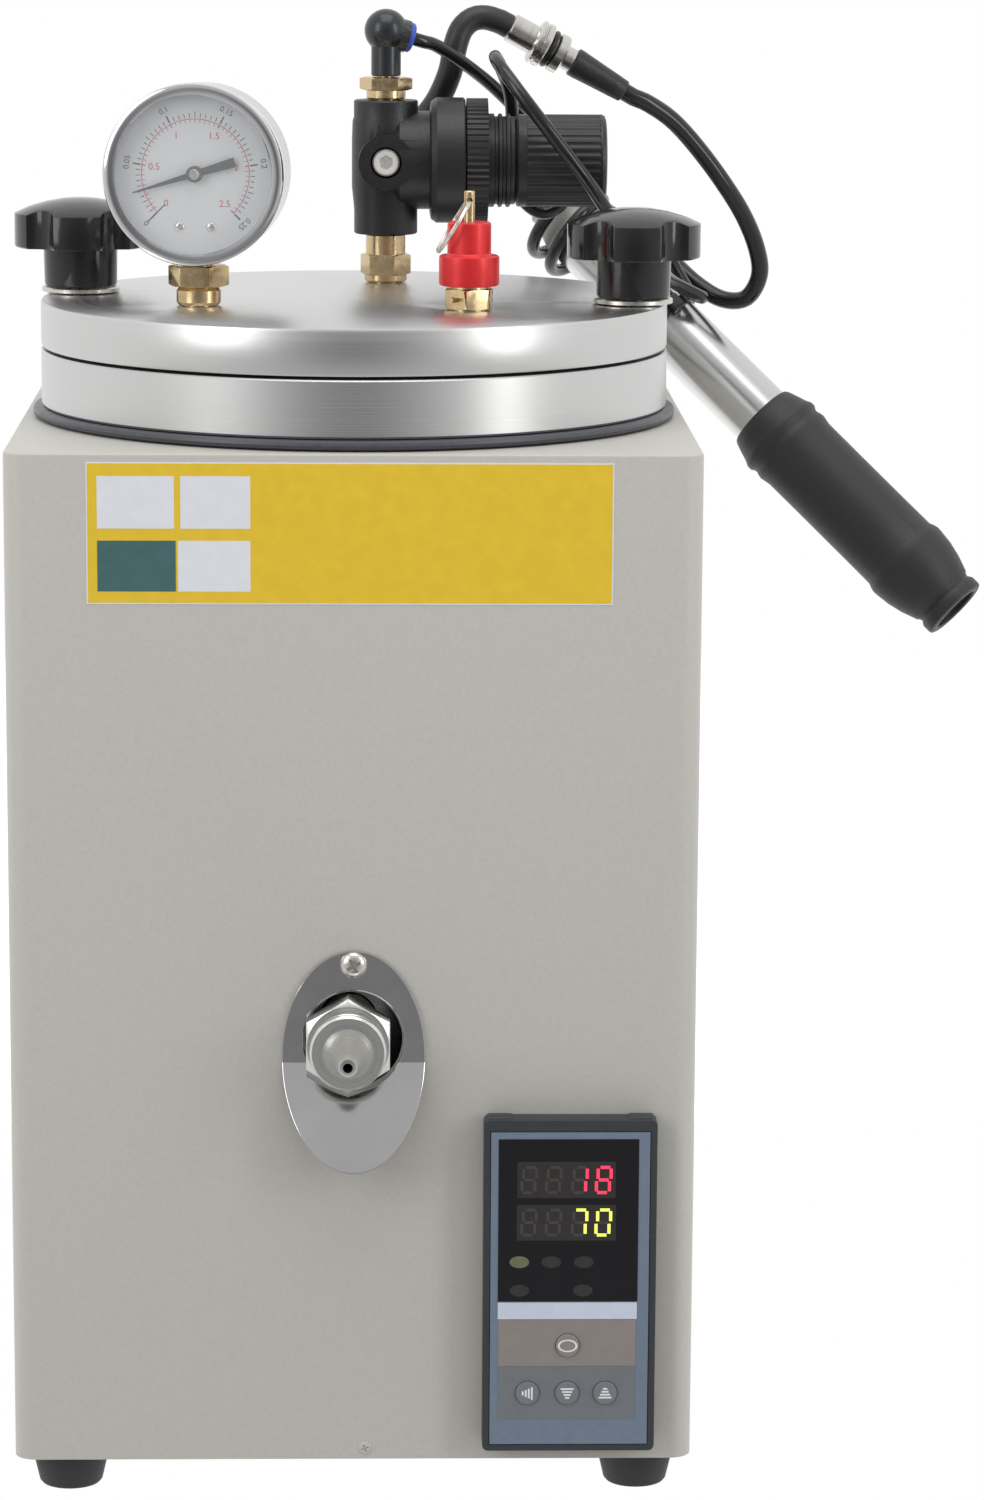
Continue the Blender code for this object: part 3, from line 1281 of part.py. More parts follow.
def make_air_lines():
    start = Vector((REG_X, REG_Y + REG_BOSS + GAP, REG_Z))
    end = COUPLER_AT - COUPLER_AIM * GAP
    route = [start + BACK * STRAIGHT] + [from_ports(*p) for p in GOOSE_ROUTE]
    route.append(end - COUPLER_AIM * STRAIGHT)
    tube("gooseneck", BLACK_RUBBER, [start, *spline(route, 2.2 * GOOSE_R), end], GOOSE_R)
    length = COUPLER_L
    turned(
        "hose_coupler",
        CHROME,
        [
            (0, length),
            (3.6 * MM, length),
            (3.6 * MM, length - 3 * MM),
            (6 * MM, length - 3.5 * MM),
            (6 * MM, length - 6.5 * MM),
            (4.6 * MM, length - 7 * MM),
            (4.6 * MM, length - 8.5 * MM),
            (6.8 * MM, length - 9 * MM),
            (6.8 * MM, length - 13 * MM),
            (4.4 * MM, length - 13.5 * MM),
            (4.4 * MM, 0),
            (0, 0),
        ],
        COUPLER_AT,
        COUPLER_AIM,
        steps=20,
    )
    turned(
        "strain_relief",
        BLACK_RUBBER,
        [
            (0, RELIEF_L),
            (HOSE_R + 0.5 * MM, RELIEF_L),
            (HOSE_R + 0.9 * MM, RELIEF_L - 4 * MM),
            (4.4 * MM, 2 * MM),
            (4.4 * MM, 0),
            (0, 0),
        ],
        RELIEF_AT,
        RELIEF_AIM,
        steps=16,
    )
    route = [HOSE_AT + RELIEF_AIM * STRAIGHT] + [Vector(p) * MM for p in HOSE_ROUTE]
    route.append(PUMP_TIP - PUMP_AXIS * (STRAIGHT + GAP))
    hose = [HOSE_AT, *spline(route, 2.2 * 2 * HOSE_R), PUMP_TIP - PUMP_AXIS * GAP]
    tube("pump_hose", BLACK_GLOSS, hose, HOSE_R)
    mouth = ELBOW_BALL + ELBOW_AIM * (ELBOW_ARM + GAP)
    end = on_pump(PORT_AT) + PORT_SIDE * PORT_OFF + PORT_AIM * (PORT_L + GAP)
    route = [mouth + ELBOW_AIM * STRAIGHT, *wrapped_tube(), end + PORT_AIM * STRAIGHT]
    tube("air_tube", BLACK_GLOSS, [mouth, *spline(route, 2 * 2 * TUBE_R), end], TUBE_R)


# Mains inlet


def make_inlet():
    rim_back = PANEL_Y + SHEET + GAP
    flange = upright_box(
        "power_inlet",
        BLACK_MATTE,
        (INLET_X - INLET_W / 2 - INLET_RIM, rim_back, INLET_Z - INLET_H / 2 - INLET_RIM),
        (INLET_X + INLET_W / 2 + INLET_RIM, rim_back + 2 * MM, INLET_Z + INLET_H / 2 + INLET_RIM),
        1.5 * MM,
        "y",
    )
    core = box(
        "inlet_core",
        STEEL,
        (INLET_X - INLET_W / 2, rim_back + 1 * MM - INLET_DEPTH, INLET_Z - INLET_H / 2),
        (INLET_X + INLET_W / 2, rim_back + 1 * MM, INLET_Z + INLET_H / 2),
    )
    join(flange, core)
    socket_z = INLET_Z - 10 * MM
    cut(
        flange,
        box(
            "socket_hollow",
            STEEL,
            (INLET_X - 12 * MM, rim_back - 14 * MM, socket_z - 8 * MM),
            (INLET_X + 12 * MM, rim_back + 9 * MM, socket_z + 8 * MM),
        ),
    )
    switch_z = INLET_Z + 12 * MM
    half_w, half_h = ROCKER_W / 2, ROCKER_H / 2
    axis_y = rim_back - 1 * MM
    room = 0.6 * MM
    cut(
        flange,
        box(
            "rocker_pocket",
            STEEL,
            (INLET_X - half_h - room, axis_y - 5 * MM, switch_z - half_w / 2 - GAP - 2 * MM),
            (INLET_X + half_h + room, rim_back + 9 * MM, switch_z + half_w / 2 + GAP + 2 * MM),
        ),
    )
    bm = bmesh.new()
    bmesh.ops.create_cube(bm, size=1)
    bmesh.ops.scale(bm, vec=(ROCKER_H, 4.4 * MM, half_w + 4 * MM), verts=bm.verts)
    bmesh.ops.translate(bm, verts=bm.verts, vec=(0, 1.4 * MM, 0))
    rocker = from_bmesh(bm, "power_rocker", BLACK_GLOSS, (INLET_X, axis_y, switch_z))
    rocker.rotation_mode = "XYZ"
    rocker.rotation_euler = (0, 0, ROCKER_TILT)


make_case()
make_feet()
make_pot()
make_lid()
make_star_knobs()
make_guard()
make_nozzle()
make_controller()
make_gauge()
make_regulator()
make_nipples()
make_safety_valve()
make_pump()
make_bracket()
make_air_lines()
make_inlet()
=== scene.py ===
import json
import math

import bmesh
import bpy
from mathutils import Matrix, Vector


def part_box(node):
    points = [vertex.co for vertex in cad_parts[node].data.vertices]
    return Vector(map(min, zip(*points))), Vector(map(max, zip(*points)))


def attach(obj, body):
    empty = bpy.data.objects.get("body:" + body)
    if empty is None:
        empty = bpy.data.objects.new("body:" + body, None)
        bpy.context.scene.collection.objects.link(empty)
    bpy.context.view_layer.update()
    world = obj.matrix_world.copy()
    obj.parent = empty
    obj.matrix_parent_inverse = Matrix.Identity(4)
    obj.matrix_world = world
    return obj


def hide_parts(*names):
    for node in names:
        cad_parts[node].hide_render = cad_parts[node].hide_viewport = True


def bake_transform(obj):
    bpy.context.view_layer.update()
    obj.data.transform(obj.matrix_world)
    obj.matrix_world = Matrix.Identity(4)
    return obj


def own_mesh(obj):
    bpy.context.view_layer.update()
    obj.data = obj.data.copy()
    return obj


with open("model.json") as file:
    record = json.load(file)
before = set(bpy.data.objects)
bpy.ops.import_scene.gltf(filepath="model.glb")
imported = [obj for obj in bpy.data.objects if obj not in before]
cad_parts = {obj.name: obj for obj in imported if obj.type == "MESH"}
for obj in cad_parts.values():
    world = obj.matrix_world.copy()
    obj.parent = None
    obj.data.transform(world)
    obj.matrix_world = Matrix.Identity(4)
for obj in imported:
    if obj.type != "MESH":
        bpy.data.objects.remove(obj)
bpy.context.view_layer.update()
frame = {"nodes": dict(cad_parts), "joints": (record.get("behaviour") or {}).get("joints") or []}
bpy.ops.object.select_all(action="DESELECT")

# Camera. A long lens from a little above the lid looks slightly down and to the right.

MM = 0.001
LID_LOW_CORNER, LID_HIGH_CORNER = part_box("lid")
POT_AXIS = Vector(((LID_LOW_CORNER.x + LID_HIGH_CORNER.x) / 2, (LID_LOW_CORNER.y + LID_HIGH_CORNER.y) / 2, 0))
UP, RIGHT, FRONT, BACK = Vector((0, 0, 1)), Vector((1, 0, 0)), Vector((0, -1, 0)), Vector((0, 1, 0))


def spot(x, y, z):
    """A place in millimetres from the pot's axis and the soles of the feet."""
    return POT_AXIS + Vector((x, y, z)) * MM


bpy.ops.object.camera_add()
camera = bpy.context.object
camera.name = "portrait_camera"
camera.data.lens, camera.data.sensor_width = 113.98, 36
camera.data.clip_start, camera.data.clip_end = 0.05, 20
LOOK_DOWN, LOOK_RIGHT, TILT = math.radians(10.811), math.radians(1.626), math.radians(0.363)
camera.matrix_world = Matrix.Translation(spot(1.58, -1368.8, 457.1)) @ (
    Matrix.Rotation(-LOOK_RIGHT, 4, "Z") @ Matrix.Rotation(math.pi / 2 - LOOK_DOWN, 4, "X")
    @ Matrix.Rotation(TILT, 4, "Z")
)
bpy.context.scene.camera = camera

# Air lines. A black hose runs from the coupler's strain relief round to the pump's tip, and a thin tube
# from the elbow on the regulator loops over its knob and winds round the pump's head.


def finish_called(name, colour, roughness, metallic=0.0):
    """A new finish of one colour, which grain or turning marks then vary."""
    made = bpy.data.materials.new(name)
    made.use_nodes = True
    shader = made.node_tree.nodes["Principled BSDF"]
    shader.inputs["Base Color"].default_value = (*colour, 1)
    shader.inputs["Roughness"].default_value = roughness
    shader.inputs["Metallic"].default_value = metallic
    return made


def vary(made, pattern, shade, gloss, depth):
    """Lets a pattern between 0 and 1 vary a finish's colour, roughness and height."""
    nodes, links = made.node_tree.nodes, made.node_tree.links
    shader = nodes["Principled BSDF"]
    if shade:
        colour = shader.inputs["Base Color"].default_value[:3]
        ramp = nodes.new("ShaderNodeValToRGB")
        ramp.color_ramp.elements[0].position, ramp.color_ramp.elements[1].position = 0.3, 0.7
        ramp.color_ramp.elements[0].color = (*(c * (1 - shade) for c in colour), 1)
        ramp.color_ramp.elements[1].color = (*(min(1, c * (1 + shade)) for c in colour), 1)
        links.new(pattern, ramp.inputs["Fac"])
        links.new(ramp.outputs["Color"], shader.inputs["Base Color"])
    if gloss:
        spread = nodes.new("ShaderNodeMapRange")
        middle = shader.inputs["Roughness"].default_value
        spread.inputs["From Min"].default_value, spread.inputs["From Max"].default_value = 0.25, 0.75
        spread.inputs["To Min"].default_value = max(0.02, middle - gloss)
        spread.inputs["To Max"].default_value = min(1, middle + gloss)
        links.new(pattern, spread.inputs["Value"])
        links.new(spread.outputs["Result"], shader.inputs["Roughness"])
    if depth:
        bump = nodes.new("ShaderNodeBump")
        bump.inputs["Distance"].default_value = depth
        links.new(pattern, bump.inputs["Height"])
        links.new(bump.outputs["Normal"], shader.inputs["Normal"])
    return made


def grain(made, cells_per_m, shade=0.0, gloss=0.0, depth=0.0):
    """An even grain, as on mouldings, rubber and powder coat."""
    nodes, links = made.node_tree.nodes, made.node_tree.links
    place, noise = nodes.new("ShaderNodeTexCoord"), nodes.new("ShaderNodeTexNoise")
    noise.inputs["Scale"].default_value, noise.inputs["Detail"].default_value = cells_per_m, 3
    links.new(place.outputs["Object"], noise.inputs["Vector"])
    return vary(made, noise.outputs["Fac"], shade, gloss, depth)


def turning_marks(made, at, along, lines_per_m, shade=0.0, gloss=0.0, depth=0.0):
    """Fine rings round an axis, as a lathe tool leaves them."""
    nodes, links = made.node_tree.nodes, made.node_tree.links
    place, fit = nodes.new("ShaderNodeTexCoord"), nodes.new("ShaderNodeMapping")
    fit.vector_type = "TEXTURE"
    fit.inputs["Location"].default_value = at
    fit.inputs["Rotation"].default_value = UP.rotation_difference(Vector(along)).to_euler()
    parts, flat = nodes.new("ShaderNodeSeparateXYZ"), nodes.new("ShaderNodeCombineXYZ")
    reach, both = nodes.new("ShaderNodeVectorMath"), nodes.new("ShaderNodeCombineXYZ")
    reach.operation = "LENGTH"
    noise = nodes.new("ShaderNodeTexNoise")
    noise.inputs["Scale"].default_value, noise.inputs["Detail"].default_value = lines_per_m, 4
    noise.inputs["Roughness"].default_value = 0.7
    links.new(place.outputs["Object"], fit.inputs["Vector"])
    links.new(fit.outputs["Vector"], parts.inputs["Vector"])
    links.new(parts.outputs["X"], flat.inputs["X"])
    links.new(parts.outputs["Y"], flat.inputs["Y"])
    links.new(flat.outputs["Vector"], reach.inputs[0])
    links.new(reach.outputs["Value"], both.inputs["X"])
    links.new(parts.outputs["Z"], both.inputs["Z"])
    links.new(both.outputs["Vector"], noise.inputs["Vector"])
    return vary(made, noise.outputs["Fac"], shade, gloss, depth)


def smooth_line(points, step):
    """Points about a step apart on a smooth curve through the points given."""
    ends = [2 * points[0] - points[1], *points, 2 * points[-1] - points[-2]]
    fine = []
    for a, b, c, d in zip(ends, ends[1:], ends[2:], ends[3:]):
        for k in range(12):
            t = k / 12
            fine.append(
                0.5 * (2 * b + (c - a) * t + (2 * a - 5 * b + 4 * c - d) * t**2
                       + (3 * b - a - 3 * c + d) * t**3)
            )
    fine.append(points[-1])
    total = sum((q - p).length for p, q in zip(fine, fine[1:]))
    count = max(2, round(total / step))
    wanted, found, gone = [total * k / count for k in range(1, count)], [fine[0]], 0.0
    for p, q in zip(fine, fine[1:]):
        length = (q - p).length
        while wanted and wanted[0] <= gone + length:
            found.append(p.lerp(q, (wanted.pop(0) - gone) / length))
        gone += length
    found.append(fine[-1])
    return found


def pick(piece):
    """Makes a piece the active one and the only one selected."""
    bpy.ops.object.select_all(action="DESELECT")
    bpy.context.view_layer.objects.active = piece
    piece.select_set(True)


def bent_tube(name, points, radius, sides=6):
    """A round tube of one radius along a line of points, as a closed mesh."""
    curve = bpy.data.curves.new(name, "CURVE")
    curve.dimensions, curve.bevel_depth, curve.bevel_resolution = "3D", radius, sides
    curve.use_fill_caps = True
    line = curve.splines.new("POLY")
    line.points.add(len(points) - 1)
    for place, point in zip(line.points, points):
        place.co = (*point, 1)
    made = bpy.data.objects.new(name, curve)
    bpy.context.scene.collection.objects.link(made)
    pick(made)
    bpy.ops.object.convert(target="MESH")
    made = bpy.context.object
    bpy.ops.object.mode_set(mode="EDIT")
    bpy.ops.mesh.select_all(action="SELECT")
    bpy.ops.mesh.remove_doubles(threshold=1e-6)
    bpy.ops.mesh.normals_make_consistent(inside=False)
    bpy.ops.object.mode_set(mode="OBJECT")
    bpy.ops.object.shade_smooth_by_angle(angle=math.radians(50))
    return made


def fit_piece(piece, finish, slot, body, *nodes):
    """A finished piece gets its material, moves with its body and stands for its CAD nodes."""
    piece.data.materials.clear()
    piece.data.materials.append(finish)
    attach(piece, body)
    if nodes:
        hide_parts(*nodes)
    return piece


STROKE = next(j for j in frame["joints"] if j["name"] == "pump_stroke")
PUMP_AXIS = Vector(STROKE["axis"]).normalized()
PUMP_UP = (UP - PUMP_AXIS * PUMP_AXIS.z).normalized()
PUMP_SIDE = PUMP_UP.cross(PUMP_AXIS)
PUMP_TIP = spot(58.1, 128, 348)
COUPLER_AIM, RELIEF_AIM = Vector((0.88, 0.08, -0.47)).normalized(), Vector((0.86, 0.08, -0.5)).normalized()
COUPLER_LENGTH, RELIEF_LENGTH, JOINT_GAP, STRAIGHT = 21.5 * MM, 18 * MM, 0.3 * MM, 3 * MM
COUPLER_AT = spot(46.5, 77.5, 402.8) + COUPLER_AIM * JOINT_GAP
RELIEF_AT = COUPLER_AT + COUPLER_AIM * (COUPLER_LENGTH + JOINT_GAP)


def on_pump(along, side=0.0, up=0.0):
    """A point in millimetres along the pump from its tip, to its rear side and above it."""
    return PUMP_TIP + (PUMP_AXIS * along + PUMP_SIDE * side + PUMP_UP * up) * MM


HOSE_RADIUS = 2.7 * MM
HOSE_ROUTE = [
    (89.2, 82.2, 379.6), (96.5, 85, 374.6), (104, 88, 366.7), (112.4, 91, 355.9), (119.5, 95, 345),
    (124, 98, 334.5), (125.2, 101, 326), (121.5, 104, 318.8), (114.5, 108, 318), (107, 112.5, 322),
    (100, 121, 328), (95, 132, 332), (90, 144, 336), (83, 156, 340), (72, 164.5, 345),
    (58, 167, 350), (45, 164, 355.5), (35, 155, 361), (34, 145.5, 364), (42, 136.5, 361),
]
hose_start = RELIEF_AT + RELIEF_AIM * (RELIEF_LENGTH + JOINT_GAP)
hose_end = PUMP_TIP - PUMP_AXIS * JOINT_GAP
route = [hose_start + RELIEF_AIM * STRAIGHT, *(spot(*p) for p in HOSE_ROUTE), hose_end - PUMP_AXIS * STRAIGHT]
hose_line = [hose_start, *smooth_line(route, 1.6 * MM), hose_end]
line_black = finish_called("hose_polyurethane_black", (0.012, 0.012, 0.013), 0.16)
grain(line_black, 260, gloss=0.05, depth=0.00003)
hose = bent_tube("pump_hose_line", hose_line, HOSE_RADIUS)
hose.data.materials.append(line_black)
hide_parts("pump_hose")
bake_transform(hose)

TUBE_RADIUS = 2 * MM
ELBOW_BALL, ELBOW_AIM, ELBOW_ARM = spot(9.2, 50, 402.5), Vector((0.94, 0.2, -0.28)).normalized(), 8.4 * MM
TUBE_ROUTE = [
    (24, 55.5, 398), (31, 62, 393.5), (40, 71, 386.5), (48, 77, 379), (57, 79.5, 370.5), (64, 79, 361.5),
    (64.5, 77, 352), (57.5, 75.5, 347), (50.5, 74, 351.5), (48, 72, 361), (47.5, 70, 372), (46.5, 66, 383),
    (43.5, 59.5, 391.5), (41.5, 50, 395), (42.5, 40.5, 393), (47, 33.5, 387), (54, 30.5, 378),
    (61.5, 30.5, 368.5), (68.5, 33, 359.5), (75, 38, 350), (82, 52, 341), (90, 70, 333), (97, 88, 325.5),
]
TUBE_ON_PUMP = [(62, -6, 16), (57, -3, 13.5), (50, -1.5, 14.6), (42, 0, 16.4), (33, 2, 15)]
WRAP_TURNS, WRAP_START, WRAP_END, WRAP_RADIUS, WRAP_FROM = 1.75, 23, 9, 13.2, math.radians(70)
PORT_ANGLE, PORT_AT, PORT_OFF, PORT_LENGTH = math.radians(60), 5, 6.5, 6
PORT_SIDE = PUMP_SIDE * math.cos(PORT_ANGLE) + PUMP_UP * math.sin(PORT_ANGLE)
PORT_AIM = PUMP_UP * math.cos(PORT_ANGLE) - PUMP_SIDE * math.sin(PORT_ANGLE)
wraps = []
for k in range(round(WRAP_TURNS * 12) + 1):
    share = k / round(WRAP_TURNS * 12)
    angle = WRAP_FROM - 2 * math.pi * WRAP_TURNS * share
    along = WRAP_START + (WRAP_END - WRAP_START) * share
    wraps.append(on_pump(along, WRAP_RADIUS * math.cos(angle), WRAP_RADIUS * math.sin(angle)))
tube_start = ELBOW_BALL + ELBOW_AIM * (ELBOW_ARM + JOINT_GAP)
tube_end = on_pump(PORT_AT) + PORT_SIDE * PORT_OFF * MM + PORT_AIM * (PORT_LENGTH * MM + JOINT_GAP)
route = [tube_start + ELBOW_AIM * STRAIGHT, *(spot(*p) for p in TUBE_ROUTE)]
route += [*(on_pump(*p) for p in TUBE_ON_PUMP), *wraps, tube_end + PORT_AIM * STRAIGHT]
tube_line = [tube_start, *smooth_line(route, 1.4 * MM), tube_end]
air_tube = bent_tube("air_tube_line", tube_line, TUBE_RADIUS)
air_tube.data.materials.append(line_black)
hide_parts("air_tube")
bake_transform(air_tube)

# Studio. A pale floor sweeps up behind, and large soft lamps stand left, right and above.


def select_where(kind, test):
    """Selects the active mesh's vertices, edges or faces whose middle and direction pass a test."""
    bpy.ops.mesh.select_mode(type=kind)
    bpy.ops.mesh.select_all(action="DESELECT")
    bm = bmesh.from_edit_mesh(bpy.context.object.data)
    for face in bm.faces if kind == "FACE" else ():
        face.select_set(test(face.calc_center_median(), face.normal))
    for edge in bm.edges if kind == "EDGE" else ():
        ends = [vert.co for vert in edge.verts]
        edge.select_set(test((ends[0] + ends[1]) / 2, (ends[1] - ends[0]).normalized()))
    for vert in bm.verts if kind == "VERT" else ():
        vert.select_set(test(vert.co, vert.normal))
    bm.select_flush_mode()
    bmesh.update_edit_mesh(bpy.context.object.data)


bpy.ops.mesh.primitive_plane_add(size=1, location=(0, 0.8, 0), scale=(8, 2.8, 1))
floor = bpy.context.object
floor.name = "studio_floor"
bpy.ops.object.transform_apply(location=True, rotation=True, scale=True)
bpy.ops.object.mode_set(mode="EDIT")
select_where("EDGE", lambda middle, way: middle.y > 2)
bpy.ops.mesh.extrude_region_move(TRANSFORM_OT_translate={"value": (0, 0, 4)})
select_where("EDGE", lambda middle, way: abs(middle.y - 2.2) < 0.01 and middle.z < 0.1)
bpy.ops.mesh.bevel(offset=1.4, segments=24, affect="EDGES")
bpy.ops.object.mode_set(mode="OBJECT")
bpy.ops.object.shade_smooth()
floor_finish = finish_called("studio_white", (0.86, 0.86, 0.86), 0.7)
floor_shader = floor_finish.node_tree.nodes["Principled BSDF"]
floor_shader.inputs["Emission Color"].default_value = (1, 1, 1, 1)
floor_shader.inputs["Emission Strength"].default_value = 0.3
floor.data.materials.append(floor_finish)
world = bpy.data.worlds.new("studio_air")
bpy.context.scene.world = world
world.use_nodes = True
air_nodes, air_links = world.node_tree.nodes, world.node_tree.links
way_out, split = air_nodes.new("ShaderNodeTexCoord"), air_nodes.new("ShaderNodeSeparateXYZ")
spread = air_nodes.new("ShaderNodeMapRange")
spread.inputs["From Min"].default_value = -1
fade = air_nodes.new("ShaderNodeValToRGB")
fade.color_ramp.elements[0].color, fade.color_ramp.elements[1].color = (0.16, 0.16, 0.165, 1), (1, 1, 1, 1)
fade.color_ramp.elements[1].position = 0.62
for place, level in ((0.06, 0.52), (0.3, 0.84)):
    fade.color_ramp.elements.new(place).color = (level, level, level, 1)
air_links.new(way_out.outputs["Generated"], split.inputs["Vector"])
air_links.new(split.outputs["Y"], spread.inputs["Value"])
air_links.new(spread.outputs["Result"], fade.inputs["Fac"])
air_links.new(fade.outputs["Color"], air_nodes["Background"].inputs["Color"])
air_nodes["Background"].inputs["Strength"].default_value = 1.0
bpy.context.scene.view_settings.view_transform = "Standard"


def soft_lamp(name, place, towards, width, height, watts):
    bpy.ops.object.light_add(type="AREA", location=place)
    lamp = bpy.context.object
    lamp.name = name
    lamp.data.shape, lamp.data.size, lamp.data.size_y, lamp.data.energy = "RECTANGLE", width, height, watts
    lamp.rotation_euler = (Vector(place) - Vector(towards)).to_track_quat("Z", "Y").to_euler()


soft_lamp("lamp_left", (-1.3, -1.1, 0.9), (0, 0, 0.2), 0.7, 1.2, 8)
soft_lamp("lamp_right", (1.2, -0.9, 0.7), (0, 0, 0.25), 0.35, 1.1, 5.5)
soft_lamp("lamp_above", (0, -0.3, 1.5), (0, 0, 0.2), 1.0, 1.0, 6)

# Case. Folded from 1.2 mm steel sheet with round upright edges and a crisp top edge, finished with a fine
# textured warm grey powder coat. Its openings take the nozzle, the controller and the pot.


def block(name, low, high, edge=0.0, steps=3):
    """A box between two corners, its edges rounded, left active and selected."""
    bpy.ops.object.select_all(action="DESELECT")
    bpy.ops.mesh.primitive_cube_add(size=1, location=(low + high) / 2, scale=high - low)
    made = bpy.context.object
    made.name = name
    bpy.ops.object.transform_apply(location=True, rotation=True, scale=True)
    if edge:
        bpy.ops.object.mode_set(mode="EDIT")
        bpy.ops.mesh.select_all(action="SELECT")
        bpy.ops.mesh.bevel(offset=edge, segments=steps, affect="EDGES")
        bpy.ops.object.mode_set(mode="OBJECT")
    return made


def change(piece, kind, **settings):
    """Adds a modifier and applies it."""
    pick(piece)
    step = piece.modifiers.new(kind.lower(), kind)
    for key, value in settings.items():
        setattr(step, key, value)
    bpy.ops.object.modifier_apply(modifier=step.name)
    return piece


def combine(piece, operation, *tools):
    """Cuts, joins or trims a piece with others, which are used up."""
    for tool in tools:
        change(piece, "BOOLEAN", operation=operation, object=tool, solver="EXACT")
        bpy.data.objects.remove(tool, do_unlink=True)
    return piece


def soften(piece, width, steps=2, over=30):
    """Rounds a piece's sharp edges and shades it smooth between them."""
    change(
        piece, "BEVEL", width=width, segments=steps, limit_method="ANGLE", angle_limit=math.radians(over),
        use_clamp_overlap=True, miter_outer="MITER_ARC",
    )
    bpy.ops.object.shade_smooth_by_angle(angle=math.radians(over))
    return piece


def cylinder(name, radius, start, end, sides=64):
    """A solid cylinder from one point to another."""
    start, end = Vector(start), Vector(end)
    turn = UP.rotation_difference(end - start).to_euler()
    bpy.ops.object.select_all(action="DESELECT")
    bpy.ops.mesh.primitive_cylinder_add(
        vertices=sides, radius=radius, depth=(end - start).length, location=(start + end) / 2, rotation=turn
    )
    made = bpy.context.object
    made.name = name
    bpy.ops.object.transform_apply(location=True, rotation=True, scale=True)
    return made


def drill(piece, radius, start, end, sides=64):
    """Cuts a round hole, its radius in millimetres, from one point to another."""
    return combine(piece, "DIFFERENCE", cylinder("cut", radius * MM, start, end, sides))


CASE_LOW, CASE_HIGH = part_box("case_body")
SHEET, CASE_BEND = 1.2 * MM, 6 * MM
case_paint = finish_called("case_powder_coat", (0.475, 0.462, 0.425), 0.5)
grain(case_paint, 900, shade=0.03, gloss=0.06, depth=0.00005)
case = block("case_shell", CASE_LOW, CASE_HIGH)
bpy.ops.object.mode_set(mode="EDIT")
select_where("EDGE", lambda middle, way: abs(way.z) > 0.9)
bpy.ops.mesh.bevel(offset=CASE_BEND, segments=10, affect="EDGES")
select_where("EDGE", lambda middle, way: abs(way.z) < 0.1 and middle.z > CASE_HIGH.z - MM)
bpy.ops.mesh.bevel(offset=0.9 * MM, segments=3, affect="EDGES")
select_where("FACE", lambda middle, way: way.z < -0.9)
bpy.ops.mesh.delete(type="FACE")
bpy.ops.object.mode_set(mode="OBJECT")
change(case, "SOLIDIFY", thickness=SHEET, offset=-1, use_even_offset=True)
NOZZLE_Z, GUARD_SCREW_Z = 132.5, 153.9
bezel_low, bezel_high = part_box("controller_case")
combine(
    case,
    "DIFFERENCE",
    cylinder("cut", 76 * MM, spot(0, 0, 285), spot(0, 0, 305), 128),
    cylinder("cut", 13.5 * MM, spot(0, -85, NOZZLE_Z), spot(0, -105, NOZZLE_Z), 96),
    block(
        "cut",
        Vector((bezel_low.x + 1.4 * MM, CASE_LOW.y - 5 * MM, bezel_low.z + 2 * MM)),
        Vector((bezel_high.x - 1.4 * MM, CASE_LOW.y + 5 * MM, bezel_high.z - 2 * MM)),
    ),
    block(
        "cut",
        Vector((CASE_LOW.x + 35 * MM, CASE_HIGH.y - 5 * MM, CASE_LOW.z + 20 * MM)),
        Vector((CASE_HIGH.x - 35 * MM, CASE_HIGH.y + 5 * MM, CASE_HIGH.z - 20 * MM)),
    ),
)
pick(case)
bpy.ops.object.shade_smooth_by_angle(angle=math.radians(25))
fit_piece(case, case_paint, "case_paint", "base", "case_body")

# Back panel and base plate. The same painted sheet as the case; the back panel comes off, and eight
# zinc-plated cross-head screws hold it.


def refinish(finish, *names):
    """Gives CAD nodes that keep their shape a better material."""
    for name in names:
        node = frame["nodes"][name]
        if not node.material_slots:
            node.data.materials.append(finish)
        for held in node.material_slots:
            held.material = finish


refinish(case_paint, "back_panel", "base_plate")
zinc = finish_called("zinc_plated_steel", (0.62, 0.6, 0.55), 0.28, 1)
grain(zinc, 700, shade=0.06, gloss=0.08, depth=0.00002)


def cross_screw(name, at, along, radius, height, turn=0.0):
    """A domed screw head with a cross slot, standing on a face."""
    along = Vector(along).normalized()
    bpy.ops.object.select_all(action="DESELECT")
    bpy.ops.mesh.primitive_uv_sphere_add(segments=32, ring_count=16, radius=1)
    head = bpy.context.object
    head.name = name
    bpy.ops.object.mode_set(mode="EDIT")
    bpy.ops.mesh.select_all(action="SELECT")
    bpy.ops.mesh.bisect(plane_co=(0, 0, 0), plane_no=(0, 0, 1), clear_inner=True, use_fill=True)
    bpy.ops.object.mode_set(mode="OBJECT")
    head.scale = (radius, radius, height)
    bpy.ops.object.transform_apply(location=True, rotation=True, scale=True)
    slot_reach, slot_half, floor_z = radius * 0.55, radius * 0.12, height * 0.45
    for angle in (turn, turn + math.pi / 2):
        blade = block(
            "blade", Vector((-slot_reach, -slot_half, floor_z)), Vector((slot_reach, slot_half, height * 2))
        )
        blade.rotation_euler = (0, 0, angle)
        bpy.ops.object.transform_apply(location=True, rotation=True, scale=True)
        combine(head, "DIFFERENCE", blade)
    head.rotation_euler = UP.rotation_difference(along).to_euler()
    head.location = at
    pick(head)
    bpy.ops.object.transform_apply(location=True, rotation=True, scale=True)
    bpy.ops.object.shade_smooth_by_angle(angle=math.radians(35))
    return head


def joined(name, pieces):
    """One object made of several."""
    bpy.ops.object.select_all(action="DESELECT")
    for piece in pieces:
        piece.select_set(True)
    bpy.context.view_layer.objects.active = pieces[0]
    bpy.ops.object.join()
    pieces[0].name = name
    return pieces[0]


